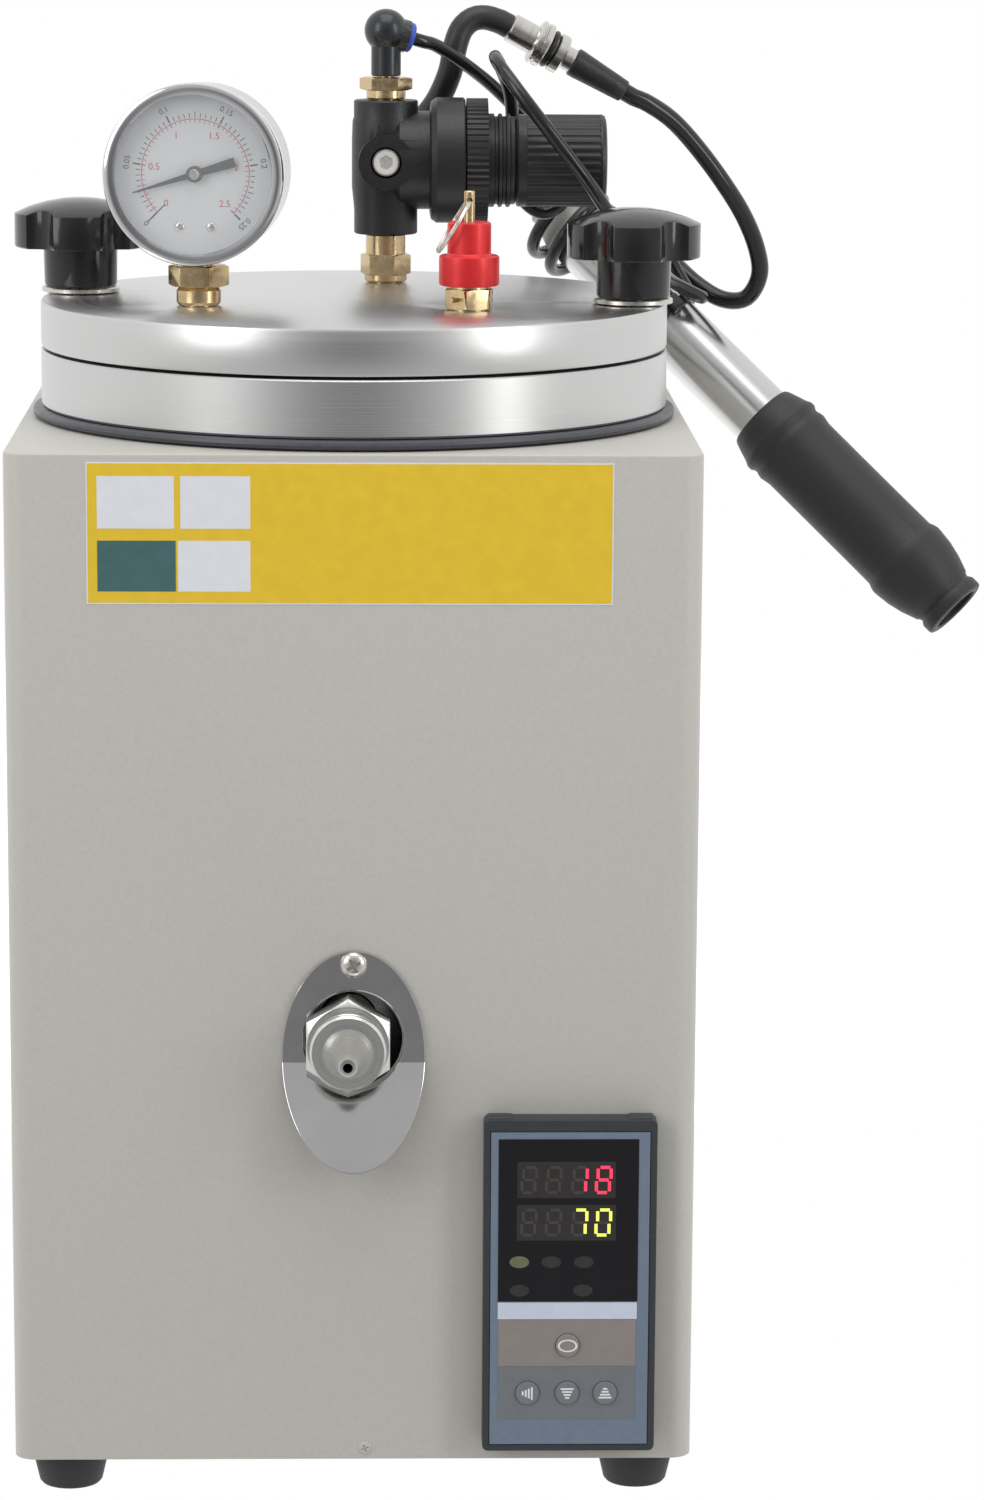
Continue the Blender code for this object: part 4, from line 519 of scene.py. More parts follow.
panel_low, panel_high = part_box("back_panel")
SCREW_INSET = 5 * MM
heads = []
for x in (panel_low.x + SCREW_INSET, panel_high.x - SCREW_INSET):
    for k in range(4):
        z = panel_low.z + SCREW_INSET + (panel_high.z - panel_low.z - 2 * SCREW_INSET) * k / 3
        place = Vector((x, panel_high.y, z))
        heads.append(cross_screw("panel_screw", place, BACK, 2.8 * MM, 1.3 * MM, k * 0.7))
fit_piece(joined("panel_screws", heads), zinc, "zinc_steel", "base")

# Feet. Four moulded black rubber feet, each a short cone, screwed to the base plate through the recess
# in its sole.


def turned(name, profile, at, along=UP, sides=96, over=30):
    """Spins a profile of (radius, height) in millimetres round the axis through a point."""
    at, along = Vector(at), Vector(along).normalized()
    out = along.orthogonal().normalized()
    places = [at + (out * r + along * h) * MM for r, h in profile]
    bpy.ops.object.select_all(action="DESELECT")
    bpy.ops.mesh.primitive_plane_add(size=MM, location=(0, 0, 0))
    made = bpy.context.object
    made.name = name
    bpy.ops.object.mode_set(mode="EDIT")
    bpy.ops.mesh.select_mode(type="VERT")
    bpy.ops.mesh.select_all(action="SELECT")
    bpy.ops.mesh.merge(type="CENTER")
    bpy.ops.transform.translate(value=places[0])
    for here, there in zip(places, places[1:]):
        bpy.ops.mesh.extrude_region_move(TRANSFORM_OT_translate={"value": there - here})
    bpy.ops.mesh.select_all(action="SELECT")
    bpy.ops.mesh.spin(steps=sides, angle=2 * math.pi, center=at, axis=along)
    bpy.ops.mesh.select_all(action="SELECT")
    bpy.ops.mesh.remove_doubles(threshold=2e-6)
    bpy.ops.mesh.normals_make_consistent(inside=False)
    bpy.ops.object.mode_set(mode="OBJECT")
    bpy.ops.object.shade_smooth_by_angle(angle=math.radians(over))
    return made


foot_rubber = finish_called("foot_rubber_black", (0.02, 0.02, 0.021), 0.62)
grain(foot_rubber, 1500, shade=0.1, gloss=0.1, depth=0.00003)
for end in ("front", "rear"):
    for side in ("left", "right"):
        node = f"foot_{end}_{side}"
        low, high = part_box(node)
        middle = Vector(((low.x + high.x) / 2, (low.y + high.y) / 2, 0))
        profile = [(0, 10.7), (10.3, 10.7), (11, 9.9), (10.7, 8.6), (8.9, 0.8), (8.3, 0.05)]
        profile += [(4.6, 0.05), (4.5, 5), (0, 5)]
        foot = turned(f"{node}_rubber", profile, middle, sides=64)
        fit_piece(foot, foot_rubber, "foot_rubber", "base", node)

# Seal ring. A dark blue-grey rubber ring, pressed between the case's top and the pot's flange, that keeps
# wax out of the case.

seal_rubber = finish_called("seal_rubber_dark", (0.055, 0.058, 0.068), 0.38)
grain(seal_rubber, 500, shade=0.12, gloss=0.08, depth=0.00004)
profile = [(78, 298), (91.3, 298), (92.2, 297.5), (92.5, 296.7), (92.2, 295.8), (91.4, 295.35), (78, 295.35)]
seal = turned("seal_ring_rubber", [*profile, profile[0]], POT_AXIS, sides=160)
fit_piece(seal, seal_rubber, "seal_rubber", "base", "base_seal_ring")

# Pot and lid. Cast and turned from aluminium: the tool's fine rings show on the lid's top and as level
# lines round the rims. A thin dark gap parts them, and the lid's holes take the studs and fittings.

rim_aluminium = finish_called("turned_aluminium_satin", (0.6, 0.6, 0.595), 0.33, 1)
turning_marks(rim_aluminium, POT_AXIS, UP, 2600, shade=0.05, gloss=0.09, depth=0.00002)
pot = turned(
    "pot_cup",
    [
        (0, 120.3), (67, 120.3), (69, 122.3), (69, 314.3), (70.5, 314.3), (70.5, 312.7), (75.5, 312.7),
        (75.5, 314.3), (89.6, 314.3), (90, 313.9), (90, 298.9), (89.6, 298.3), (74, 298.3), (74, 116.3),
        (72, 114.3), (0, 114.3),
    ],
    POT_AXIS,
    sides=192,
)
STUD_PLACES = {"left": (-79.5, 15), "right": (79.5, -15)}
STUD_HOLE, FITTING_HOLE = 4.3, 4.9
for x, y in STUD_PLACES.values():
    drill(pot, STUD_HOLE, spot(x, y, 300.3), spot(x, y, 320), 48)
drill(pot, 8.3, spot(-1.5, -60, NOZZLE_Z), spot(-1.5, -80, NOZZLE_Z))
pick(pot)
bpy.ops.object.shade_smooth_by_angle(angle=math.radians(30))
fit_piece(pot, rim_aluminium, "turned_aluminium", "base", "tank")
lid = turned(
    "lid_disc",
    [
        (0, 328.2), (89.2, 328.2), (89.75, 327.95), (90, 327.4), (90, 315.9), (89.75, 315.3), (89.2, 315.1),
        (0, 315.1),
    ],
    POT_AXIS,
    sides=192,
)
lid_holes = [(*place, STUD_HOLE) for place in STUD_PLACES.values()]
lid_holes += [(-44, -24, FITTING_HOLE), (9.2, 50, FITTING_HOLE), (32.2, -34, FITTING_HOLE)]
for x, y, radius in lid_holes:
    drill(lid, radius, spot(x, y, 305), spot(x, y, 335), 48)
pick(lid)
bpy.ops.object.shade_smooth_by_angle(angle=math.radians(30))
fit_piece(lid, rim_aluminium, "turned_aluminium", "lid", "lid")

# Inside pieces. A red silicone gasket seals the lid, a steel heater band with glass wool round it warms the
# cup, and a thin steel thermocouple reads its heat.

gasket_silicone = finish_called("gasket_silicone_red", (0.45, 0.1, 0.06), 0.5)
refinish(grain(gasket_silicone, 400, shade=0.08, gloss=0.08, depth=0.00003), "lid_gasket")
band_steel = finish_called("heater_band_steel", (0.5, 0.49, 0.47), 0.35, 1)
refinish(turning_marks(band_steel, POT_AXIS, UP, 900, shade=0.08, gloss=0.1, depth=0.00002), "heater_band")
wool = finish_called("glass_wool_mat", (0.75, 0.72, 0.62), 0.95)
refinish(grain(wool, 220, shade=0.2, gloss=0.03, depth=0.0006), "insulation_wrap")
probe_steel = finish_called("probe_steel", (0.6, 0.6, 0.59), 0.3, 1)
refinish(grain(probe_steel, 800, gloss=0.08, depth=0.00001), "thermocouple", "regulator_spring")

# Star knobs. Glossy black phenolic mouldings with a domed five-lobed head on a round hub, each turning on
# a steel stud through the lid, over a bright zinc washer.

knob_phenolic = finish_called("knob_phenolic_black", (0.012, 0.012, 0.013), 0.13)
grain(knob_phenolic, 160, gloss=0.05, depth=0.00004)
SCALLOPS, SCALLOP_OUT, SCALLOP_RADIUS = 5, 22.6, 6.6
for side, (x, y) in STUD_PLACES.items():
    base = spot(x, y, 0)
    knob = turned(
        f"star_head_{side}",
        [
            (0, 355.7), (5, 355.4), (10, 354.5), (15, 353), (18.9, 351.2), (19, 351), (19, 341.9),
            (18.6, 341.5), (0, 341.5),
        ],
        base,
        sides=160,
        over=40,
    )
    for k in range(SCALLOPS):
        angle = math.radians(-90) + 2 * math.pi * (k + 0.5) / SCALLOPS
        out = Vector((math.cos(angle), math.sin(angle), 0)) * SCALLOP_OUT * MM
        low, high = base + out + UP * 338 * MM, base + out + UP * 360 * MM
        drill(knob, SCALLOP_RADIUS, low, high, 48)
    soften(knob, 0.8 * MM, 3, 35)
    hub = turned(
        f"star_hub_{side}",
        [
            (0, 343), (10.9, 343), (10.7, 341), (10.5, 331), (10.2, 330.35), (4.4, 330.35), (4.4, 340),
            (0, 340),
        ],
        base,
        sides=96,
    )
    knob = joined(f"star_knob_{side}_moulding", [knob, hub])
    fit_piece(knob, knob_phenolic, "knob_phenolic", f"star_knob_{side}", f"star_knob_{side}")
    stud = turned(
        f"knob_stud_{side}_steel",
        [
            (0, 340), (3.7, 340), (4, 339.6), (4, 330), (11, 330), (11.3, 329.7), (11.3, 328.7), (11, 328.5),
            (4, 328.5), (4, 301.8), (3.5, 301.3), (0, 301.3),
        ],
        base,
        sides=64,
    )
    fit_piece(stud, zinc, "zinc_steel", f"star_knob_{side}", f"knob_stud_{side}")

# Drip guard. An oval of mirror-polished stainless sheet, 1 mm thick, with its lower part bent out under
# the nozzle, held by one cross-head screw.

GUARD_HALF_W, GUARD_HALF_H, GUARD_Z, GUARD_HOLE = 19.75 * MM, 30 * MM, 127.6, 14 * MM
GUARD_BEND_Z, GUARD_LEAN, GUARD_THICK = 126, math.radians(24), 1 * MM
guard_face = spot(0, -95.3, NOZZLE_Z)
bpy.ops.object.select_all(action="DESELECT")
bpy.ops.mesh.primitive_circle_add(vertices=128, radius=GUARD_HOLE, location=(0, 0, 0))
guard = bpy.context.object
guard.name = "drip_guard_sheet"
bpy.ops.object.mode_set(mode="EDIT")
bpy.ops.mesh.select_all(action="DESELECT")
bpy.ops.mesh.primitive_circle_add(vertices=128, radius=1, location=(0, 0, 0))
bpy.ops.transform.resize(value=(GUARD_HALF_W, GUARD_HALF_H, 1), center_override=(0, 0, 0))
bpy.ops.transform.translate(value=(0, (GUARD_Z - NOZZLE_Z) * MM, 0))
bpy.ops.mesh.select_all(action="SELECT")
bpy.ops.mesh.bridge_edge_loops()
bpy.ops.mesh.select_all(action="SELECT")
bend_y = (GUARD_BEND_Z - NOZZLE_Z) * MM
bpy.ops.mesh.bisect(plane_co=(0, bend_y, 0), plane_no=(0, 1, 0))
select_where("VERT", lambda at, way: at.y < bend_y - 1e-6)
stretch = 1 / math.cos(GUARD_LEAN)
bpy.ops.transform.resize(value=(1, stretch, 1), center_override=(0, bend_y, 0))
bpy.ops.object.mode_set(mode="OBJECT")
for vert in guard.data.vertices:
    below = max(0.0, bend_y - vert.co.y)
    vert.co = guard_face + Vector((
        vert.co.x,
        -below * math.sin(GUARD_LEAN),
        min(vert.co.y, bend_y) - below * math.cos(GUARD_LEAN) + max(0.0, vert.co.y - bend_y) + below,
    ))
change(guard, "SOLIDIFY", thickness=GUARD_THICK, offset=0)
bpy.ops.object.mode_set(mode="EDIT")
bpy.ops.mesh.select_all(action="SELECT")
bpy.ops.mesh.normals_make_consistent(inside=False)
bpy.ops.transform.translate(value=(0, -GUARD_THICK / 2, 0))
bpy.ops.object.mode_set(mode="OBJECT")
soften(guard, 0.15 * MM, 2, 50)
bpy.ops.object.shade_smooth_by_angle(angle=math.radians(20))
polished = finish_called("polished_stainless", (0.62, 0.61, 0.61), 0.09, 1)
grain(polished, 60, shade=0.05, gloss=0.04, depth=0.0001)
fit_piece(guard, polished, "polished_stainless", "base", "drip_guard")
screw_head = cross_screw("guard_screw_head", spot(0, -96.6, GUARD_SCREW_Z), FRONT, 3.75 * MM, 2.1 * MM, 0.5)
fit_piece(screw_head, zinc, "zinc_steel", "base", "guard_screw")

# Nozzle. Machined stainless: a hexagon on the pot's outlet holds a spring-loaded tip, a round flange with
# a cone, bored right through. Pressing the mould against it opens the valve.


def hex_nut(name, across, low, high, at, along=UP, corner=None, chamfer=0.022):
    """A hexagon with its corners turned off, between two heights in millimetres along its axis."""
    along = Vector(along).normalized()
    bpy.ops.object.select_all(action="DESELECT")
    bpy.ops.mesh.primitive_cylinder_add(
        vertices=6, radius=across * MM / math.sqrt(3), depth=(high - low) * MM
    )
    made = bpy.context.object
    made.name = name
    turn = UP.rotation_difference(along).to_matrix()
    if corner is not None:
        first = turn @ Vector((0, 1, 0))
        wanted = Vector(corner).normalized()
        swing = math.atan2(first.cross(wanted).dot(along), first.dot(wanted))
        turn = Matrix.Rotation(swing, 3, along) @ turn
    made.rotation_euler = turn.to_euler()
    made.location = at + along * (low + high) / 2 * MM
    bpy.ops.object.transform_apply(location=True, rotation=True, scale=True)
    flat, tall = across * 0.49, across * chamfer
    blank = turned(
        "blank",
        [
            (0, high), (flat, high), (across * 0.62, high - 2 * tall), (across * 0.62, low + 2 * tall),
            (flat, low), (0, low),
        ],
        at,
        along,
    )
    combine(made, "INTERSECT", blank)
    return soften(made, 0.12 * MM, 2, 25)


satin_steel = finish_called("machined_stainless", (0.66, 0.66, 0.64), 0.27, 1)
NOZZLE_AT = spot(-1.5, 0, NOZZLE_Z)
turning_marks(satin_steel, NOZZLE_AT, FRONT, 3000, shade=0.05, gloss=0.08, depth=0.00001)
nozzle_nut = hex_nut("nozzle_hex", 23, 96.9, 104.3, NOZZLE_AT, FRONT, corner=UP, chamfer=0.04)
drill(nozzle_nut, 5.5, NOZZLE_AT + FRONT * 0.09, NOZZLE_AT + FRONT * 0.11, 48)
nozzle_shank = turned(
    "nozzle_shank",
    [
        (5.5, 105.8), (9.3, 105.8), (9.66, 105.4), (9.66, 98), (8, 97.6), (8, 67.2), (2.5, 67.2), (2.5, 76),
        (5.5, 76), (5.5, 105.8),
    ],
    NOZZLE_AT,
    FRONT,
)
nozzle_body = joined("nozzle_body_steel", [nozzle_nut, nozzle_shank])
fit_piece(nozzle_body, satin_steel, "machined_steel", "base", "nozzle_body")
nozzle_tip = turned(
    "nozzle_tip_steel",
    [
        (1.35, 127.1), (2.1, 127.1), (2.6, 126.9), (2.85, 126.4), (3.6, 123.5), (4.7, 119.5), (5.9, 115.5),
        (6.9, 112.5), (7, 111.6), (9.9, 111.6), (10.5, 111), (10.5, 109.8), (10, 109.3), (5.2, 109.3),
        (5.2, 83), (1.35, 83), (1.35, 127.1),
    ],
    NOZZLE_AT,
    FRONT,
    sides=128,
)
fit_piece(nozzle_tip, satin_steel, "machined_steel", "nozzle_tip", "nozzle_tip")

# Nozzle spring. A coil of stainless wire behind the tip, against its seat.

SPRING_LOW, SPRING_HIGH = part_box("nozzle_spring")
SPRING_TURNS, TURN_STEPS, SPRING_WIRE, PRESS = 4, 24, 0.5 * MM, 3 * MM
spring_coil = []
for k in range(SPRING_TURNS * TURN_STEPS + 1):
    angle = 2 * math.pi * k / TURN_STEPS
    inward = (SPRING_HIGH.y - SPRING_LOW.y - 2 * SPRING_WIRE) * k / (SPRING_TURNS * TURN_STEPS)
    radius = (SPRING_HIGH.x - SPRING_LOW.x) / 2 - SPRING_WIRE
    spring_coil.append(Vector((
        (SPRING_LOW.x + SPRING_HIGH.x) / 2 + radius * math.cos(angle),
        SPRING_HIGH.y - SPRING_WIRE - inward,
        (SPRING_LOW.z + SPRING_HIGH.z) / 2 + radius * math.sin(angle),
    )))
nozzle_spring = bent_tube("nozzle_spring_wire", spring_coil, SPRING_WIRE, 4)
fit_piece(nozzle_spring, probe_steel, None, "base", "nozzle_spring")
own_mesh(nozzle_spring)

# Front label. A yellow printed film with a thin white border and four blank tiles, stuck on the case below
# the lid.


def film(name, finish, x0, z0, x1, z1, thick, lift, slot="panel_film", face_y=None):
    """A thin printed film on a front face, between two corners in millimetres."""
    y = face_y if face_y is not None else CASE_LOW.y
    low, high = spot(x0, 0, z0), spot(x1, 0, z1)
    low.y, high.y = y - (lift + thick) * MM, y - lift * MM
    piece = block(name, low, high)
    bpy.ops.object.shade_flat()
    return fit_piece(piece, finish, slot, "base")


label_white = grain(finish_called("label_white", (0.7, 0.71, 0.76), 0.42), 300, shade=0.02, gloss=0.05)
label_yellow = grain(finish_called("label_yellow", (0.73, 0.5, 0.028), 0.4), 300, shade=0.03, gloss=0.05)
label_teal = grain(finish_called("label_teal", (0.053, 0.127, 0.13), 0.4), 300, shade=0.04, gloss=0.05)
film("label_border", label_white, -72.4, 253.9, 70.4, 292.7, 0.1, 0.02, slot=None)
film("label_field", label_yellow, -72.0, 254.3, 70.0, 292.3, 0.06, 0.12, slot=None)
film("label_tile_a", label_white, -69.4, 274.6, -48.6, 288.9, 0.05, 0.18, slot=None)
film("label_tile_b", label_white, -46.9, 274.6, -28.0, 288.9, 0.05, 0.18, slot=None)
film("label_tile_c", label_teal, -69.4, 257.4, -48.2, 271.3, 0.05, 0.18, slot=None)
film("label_tile_d", label_white, -47.6, 257.4, -28.0, 271.3, 0.05, 0.18, slot=None)
seam_screw = cross_screw("case_seam_screw", spot(3.3, -95.0, 14.2), FRONT, 1.9 * MM, 0.6 * MM, 0.4)
fit_piece(seam_screw, case_paint, "case_paint", "base")

# Temperature controller. A dark moulded bezel clips into the case over a long body; its printed face has a
# smoked window with two rows of figures and lamps, a light band and four pressed keys.

bezel_plastic = finish_called("bezel_plastic", (0.03, 0.034, 0.038), 0.45)
grain(bezel_plastic, 1200, shade=0.06, gloss=0.06, depth=0.00002)
FACE_LOW, FACE_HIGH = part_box("controller_face")
bezel = block(
    "controller_bezel", Vector((bezel_low.x, bezel_low.y + 0.05 * MM, bezel_low.z)),
    Vector((bezel_high.x, CASE_LOW.y - 0.3 * MM, bezel_high.z - 0.6 * MM)),
)
bpy.ops.object.mode_set(mode="EDIT")
select_where("EDGE", lambda middle, way: abs(way.y) > 0.9)
bpy.ops.mesh.bevel(offset=1.6 * MM, segments=5, affect="EDGES")
bpy.ops.object.mode_set(mode="OBJECT")
middle_x, middle_z = (bezel_low.x + bezel_high.x) / 2, (bezel_low.z + bezel_high.z) / 2
shoulders = []
for side in (-1, 1):
    shoulder = block(
        "shoulder",
        Vector((middle_x + side * 19.5 * MM - 3.5 * MM, bezel_low.y + 1.2 * MM, bezel_high.z - 3 * MM)),
        Vector((middle_x + side * 19.5 * MM + 3.5 * MM, CASE_LOW.y - 1.0 * MM, bezel_high.z)),
        0.5 * MM,
    )
    shoulders.append(shoulder)
combine(bezel, "UNION", *shoulders)
reach = 0.2 * MM
well = block(
    "cut", Vector((FACE_LOW.x - reach, bezel_low.y - 3 * MM, FACE_LOW.z - reach)),
    Vector((FACE_HIGH.x + reach, FACE_HIGH.y + reach, FACE_HIGH.z + reach)),
)
combine(bezel, "DIFFERENCE", well)
soften(bezel, 0.35 * MM, 3, 35)
body_half_x, body_half_z = 22.3 * MM, 45.7 * MM
controller_body = block(
    "controller_body", Vector((middle_x - body_half_x, CASE_LOW.y - 0.4 * MM, middle_z - body_half_z)),
    Vector((middle_x + body_half_x, bezel_high.y, middle_z + body_half_z)), 0.8 * MM,
)
bezel = joined("controller_bezel_moulding", [bezel, controller_body])
fit_piece(bezel, bezel_plastic, "bezel_plastic", "base", "controller_case")
face_film = finish_called("face_film_blue_grey", (0.15, 0.19, 0.255), 0.38)
grain(face_film, 400, shade=0.04, gloss=0.05)
key_names = ("key_set", "key_left", "key_down", "key_up")
face_plate = block("controller_face_plate", FACE_LOW, FACE_HIGH, 0.1 * MM, 2)
KEY_CLEARANCE = 0.15 * MM


def cut_for_keys(piece, keys, back_y, sides):
    """Cuts the round holes that the keys stand in, from the front to a depth."""
    for key in keys:
        low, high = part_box(key)
        middle, radius = (low + high) / 2, (high.x - low.x) / 2 + KEY_CLEARANCE
        front, back = Vector((middle.x, FACE_LOW.y - 3 * MM, middle.z)), Vector((middle.x, back_y, middle.z))
        combine(piece, "DIFFERENCE", cylinder("cut", radius, front, back, sides))


cut_for_keys(face_plate, key_names, FACE_HIGH.y + MM, 64)
fit_piece(face_plate, face_film, "panel_film", "base", "controller_face")
window_black = grain(finish_called("window_smoked", (0.006, 0.006, 0.008), 0.12), 90, gloss=0.03)
figure_grey = grain(finish_called("figure_unlit", (0.05, 0.048, 0.046), 0.35), 500, shade=0.1)
row_brown = grain(finish_called("figure_row", (0.025, 0.022, 0.021), 0.35), 300, shade=0.12)
band_light = grain(finish_called("band_light", (0.55, 0.6, 0.7), 0.35), 300, shade=0.03)
panel_brown = grain(finish_called("panel_brown", (0.245, 0.212, 0.2), 0.42), 300, shade=0.04)
panel_grey = grain(finish_called("panel_grey", (0.155, 0.168, 0.182), 0.42), 300, shade=0.04)
figure_red = finish_called("figure_lit_red", (0.8, 0.02, 0.06), 0.4)
figure_green = finish_called("figure_lit_green", (0.6, 0.7, 0.1), 0.4)
for lit, glow in ((figure_red, (1, 0.05, 0.12)), (figure_green, (0.72, 0.8, 0.1))):
    grain(lit, 300, shade=0.03)
    lit.node_tree.nodes["Principled BSDF"].inputs["Emission Color"].default_value = (*glow, 1)
    lit.node_tree.nodes["Principled BSDF"].inputs["Emission Strength"].default_value = 0.9

FACE_Y = FACE_LOW.y
film("display_window", window_black, 40.1, 59.2, 78.9, 105.8, 0.12, 0.0, face_y=FACE_Y)
film("display_band", band_light, 40.1, 54.1, 78.8, 58.9, 0.1, 0.0, face_y=FACE_Y)
set_panel = film("set_panel", panel_brown, 40.3, 40.5, 78.5, 53.9, 0.08, 0.0, face_y=FACE_Y)
cut_for_keys(set_panel, key_names[:1], FACE_Y + MM, 48)
arrow_panel = film("arrow_panel", panel_grey, 40.3, 25.2, 78.5, 40.4, 0.08, 0.0, face_y=FACE_Y)
cut_for_keys(arrow_panel, key_names[1:], FACE_Y + MM, 48)
film("row_upper", row_brown, 45.3, 89.0, 72.5, 99.4, 0.04, 0.12, face_y=FACE_Y)
film("row_lower", row_brown, 45.2, 76.8, 72.7, 87.1, 0.04, 0.12, face_y=FACE_Y)
FIGURE_W, FIGURE_H, BAR, FIGURE_SLANT = 3.6, 7.2, 0.85, 0.12
LIT_BARS = {"8": "abcdefg", "1": "bc", "7": "abc", "0": "abcdef", " ": ""}


def figure_bars(x, z, wanted):
    """Low blocks for the named bars of one seven-bar figure centred on a place in millimetres."""
    half_w, half_h, made = FIGURE_W / 2, FIGURE_H / 2, []
    flat = {"a": half_h, "g": 0, "d": -half_h}
    upright = {"b": (half_w, 1), "c": (half_w, -1), "e": (-half_w, -1), "f": (-half_w, 1)}
    for bar in wanted:
        if bar in flat:
            size, place = (FIGURE_W - BAR * 1.1, BAR), (0, flat[bar])
        else:
            size, place = (BAR, half_h - BAR * 0.9), (upright[bar][0], upright[bar][1] * half_h / 2)
        centre = (x + place[0] + place[1] * FIGURE_SLANT, z + place[1])
        low = spot(centre[0] - size[0] / 2, 0, centre[1] - size[1] / 2)
        high = spot(centre[0] + size[0] / 2, 0, centre[1] + size[1] / 2)
        low.y, high.y = FACE_Y - 0.2 * MM, FACE_Y - 0.16 * MM
        made.append(block("bar", low, high))
    return made


for row, z, figures, lit in (("upper", 94.2, "  18", figure_red), ("lower", 82.0, "  70", figure_green)):
    bright, dim = [], []
    for x, figure in zip((48.6, 55.4, 62.6, 69.2), figures):
        bright += figure_bars(x, z, LIT_BARS[figure])
        dim += figure_bars(x, z, [bar for bar in "abcdefg" if bar not in LIT_BARS[figure]])
    fit_piece(joined(f"figures_{row}_lit", bright), lit, None, "base")
    fit_piece(joined(f"figures_{row}_unlit", dim), figure_grey, "panel_film", "base")
lamp_dim = grain(finish_called("lamp_unlit", (0.03, 0.03, 0.03), 0.3), 300, shade=0.1)
lamp_olive = grain(finish_called("lamp_olive", (0.15, 0.15, 0.08), 0.3), 300, shade=0.1)
for k, (x, z) in enumerate([(46.0, 70.6), (54.9, 70.6), (63.9, 70.6), (46.1, 62.4), (63.7, 62.4)]):
    front, back = spot(x, 0, z), spot(x, 0, z)
    front.y, back.y = FACE_Y - 0.22 * MM, FACE_Y - 0.12 * MM
    lamp = cylinder(f"lamp_{k + 1}", 1.7 * MM, back, front, 40)
    bpy.ops.object.mode_set(mode="EDIT")
    bpy.ops.mesh.select_all(action="SELECT")
    bpy.ops.transform.resize(value=(1.6, 1, 1), center_override=front)
    bpy.ops.object.mode_set(mode="OBJECT")
    bpy.ops.object.shade_smooth_by_angle(angle=math.radians(30))
    fit_piece(lamp, lamp_dim if k else lamp_olive, "panel_film", "base")

# Keys. Four round rubber-topped keys; three carry printed arrow heads of white stripes, one a white ring.

key_grey = grain(finish_called("key_grey", (0.165, 0.178, 0.192), 0.42), 300, shade=0.04)
print_white = grain(finish_called("print_white", (0.72, 0.74, 0.76), 0.4), 300, shade=0.02)
for key in key_names:
    low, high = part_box(key)
    middle, radius = (low + high) / 2, (high.x - low.x) / 2
    front, back = Vector((middle.x, low.y + 0.08 * MM, middle.z)), Vector((middle.x, high.y, middle.z))
    cap = cylinder(f"{key}_cap", radius, back, front, 64)
    soften(cap, 0.25 * MM, 3, 40)
    fit_piece(cap, panel_brown if key == "key_set" else key_grey, "key_plastic", key, key)
    y = (low.y + 0.02 * MM, low.y + 0.1 * MM)
    marks = []
    if key == "key_set":
        ring_back, ring_front = Vector((middle.x, y[1], middle.z)), Vector((middle.x, y[0], middle.z))
        outline = cylinder("mark", 1.9 * MM, ring_back, ring_front, 48)
        drill(outline, 1.5, ring_back + BACK * MM, ring_front - BACK * MM, 48)
        bpy.ops.object.mode_set(mode="EDIT")
        bpy.ops.mesh.select_all(action="SELECT")
        bpy.ops.transform.resize(value=(1.45, 1, 0.95), center_override=ring_back)
        bpy.ops.object.mode_set(mode="OBJECT")
        marks.append(outline)
    else:
        for k, width in enumerate((3.6, 2.8, 2.0, 1.2)):
            stripe = block(
                "mark", Vector((-width / 2 * MM, y[0], (k * 0.85 - 1.5) * MM)),
                Vector((width / 2 * MM, y[1], (k * 0.85 - 1.0) * MM)),
            )
            swing = {"key_left": -math.pi / 2, "key_down": math.pi, "key_up": 0}[key]
            stripe.rotation_euler = (0, swing, 0)
            bpy.ops.object.transform_apply(location=False, rotation=True, scale=False)
            marks.append(stripe)
        for mark in marks:
            mark.location = (middle.x, 0, middle.z)
            pick(mark)
            bpy.ops.object.transform_apply(location=True, rotation=False, scale=False)
    fit_piece(joined(f"{key}_mark", marks), print_white, None, key)

# Pressure gauge. A chromed pressed case with a rolled bezel and a clear lens, a silvery dial with an outer
# black scale and an inner red one, a black pointer, all on a brass socket screwed into the lid.

NEEDLE = next(j for j in frame["joints"] if j["name"] == "needle_turn")
GAUGE_AT = spot(-44, -24, 365.5)
GAUGE_FACING = -Vector(NEEDLE["axis"]).normalized()
GAUGE_SIDE = UP.cross(GAUGE_FACING)
TO_GAUGE = Matrix.Translation(GAUGE_AT) @ Matrix((GAUGE_SIDE, UP, GAUGE_FACING)).transposed().to_4x4()


def on_gauge(piece, side=0.0, up=0.0, out=0.0, swing=0.0):
    """Moves a piece made round the origin, facing up, to a place on the gauge in millimetres."""
    pick(piece)
    there = TO_GAUGE @ Matrix.Translation(Vector((side, up, out)) * MM)
    piece.matrix_world = there @ Matrix.Rotation(swing, 4, "Z")
    bpy.ops.object.transform_apply(location=True, rotation=True, scale=True)
    return piece


gauge_chrome = finish_called("gauge_chrome", (0.7, 0.7, 0.71), 0.1, 1)
turning_marks(gauge_chrome, GAUGE_AT, GAUGE_FACING, 700, shade=0.03, gloss=0.04, depth=0.00001)
gauge_case = turned(
    "gauge_case_chrome",
    [
        (0, -12.5), (23.4, -12.5), (24.4, -12.1), (24.8, -11.2), (24.8, 7.6), (25.1, 7.9), (25.5, 8.5),
        (25.5, 10.2), (25.2, 10.9), (24.5, 11.25), (23.6, 11.3), (22.6, 11.1), (22.2, 10.6), (22.2, 10.3),
        (23.6, 10.3), (23.6, -11), (0, -11),
    ],
    GAUGE_AT,
    GAUGE_FACING,
    sides=160,
)
fit_piece(gauge_case, gauge_chrome, "gauge_chrome", "lid", "gauge_case")
dial_silver = grain(finish_called("dial_silver", (0.62, 0.63, 0.645), 0.45), 500, shade=0.02, gloss=0.04)
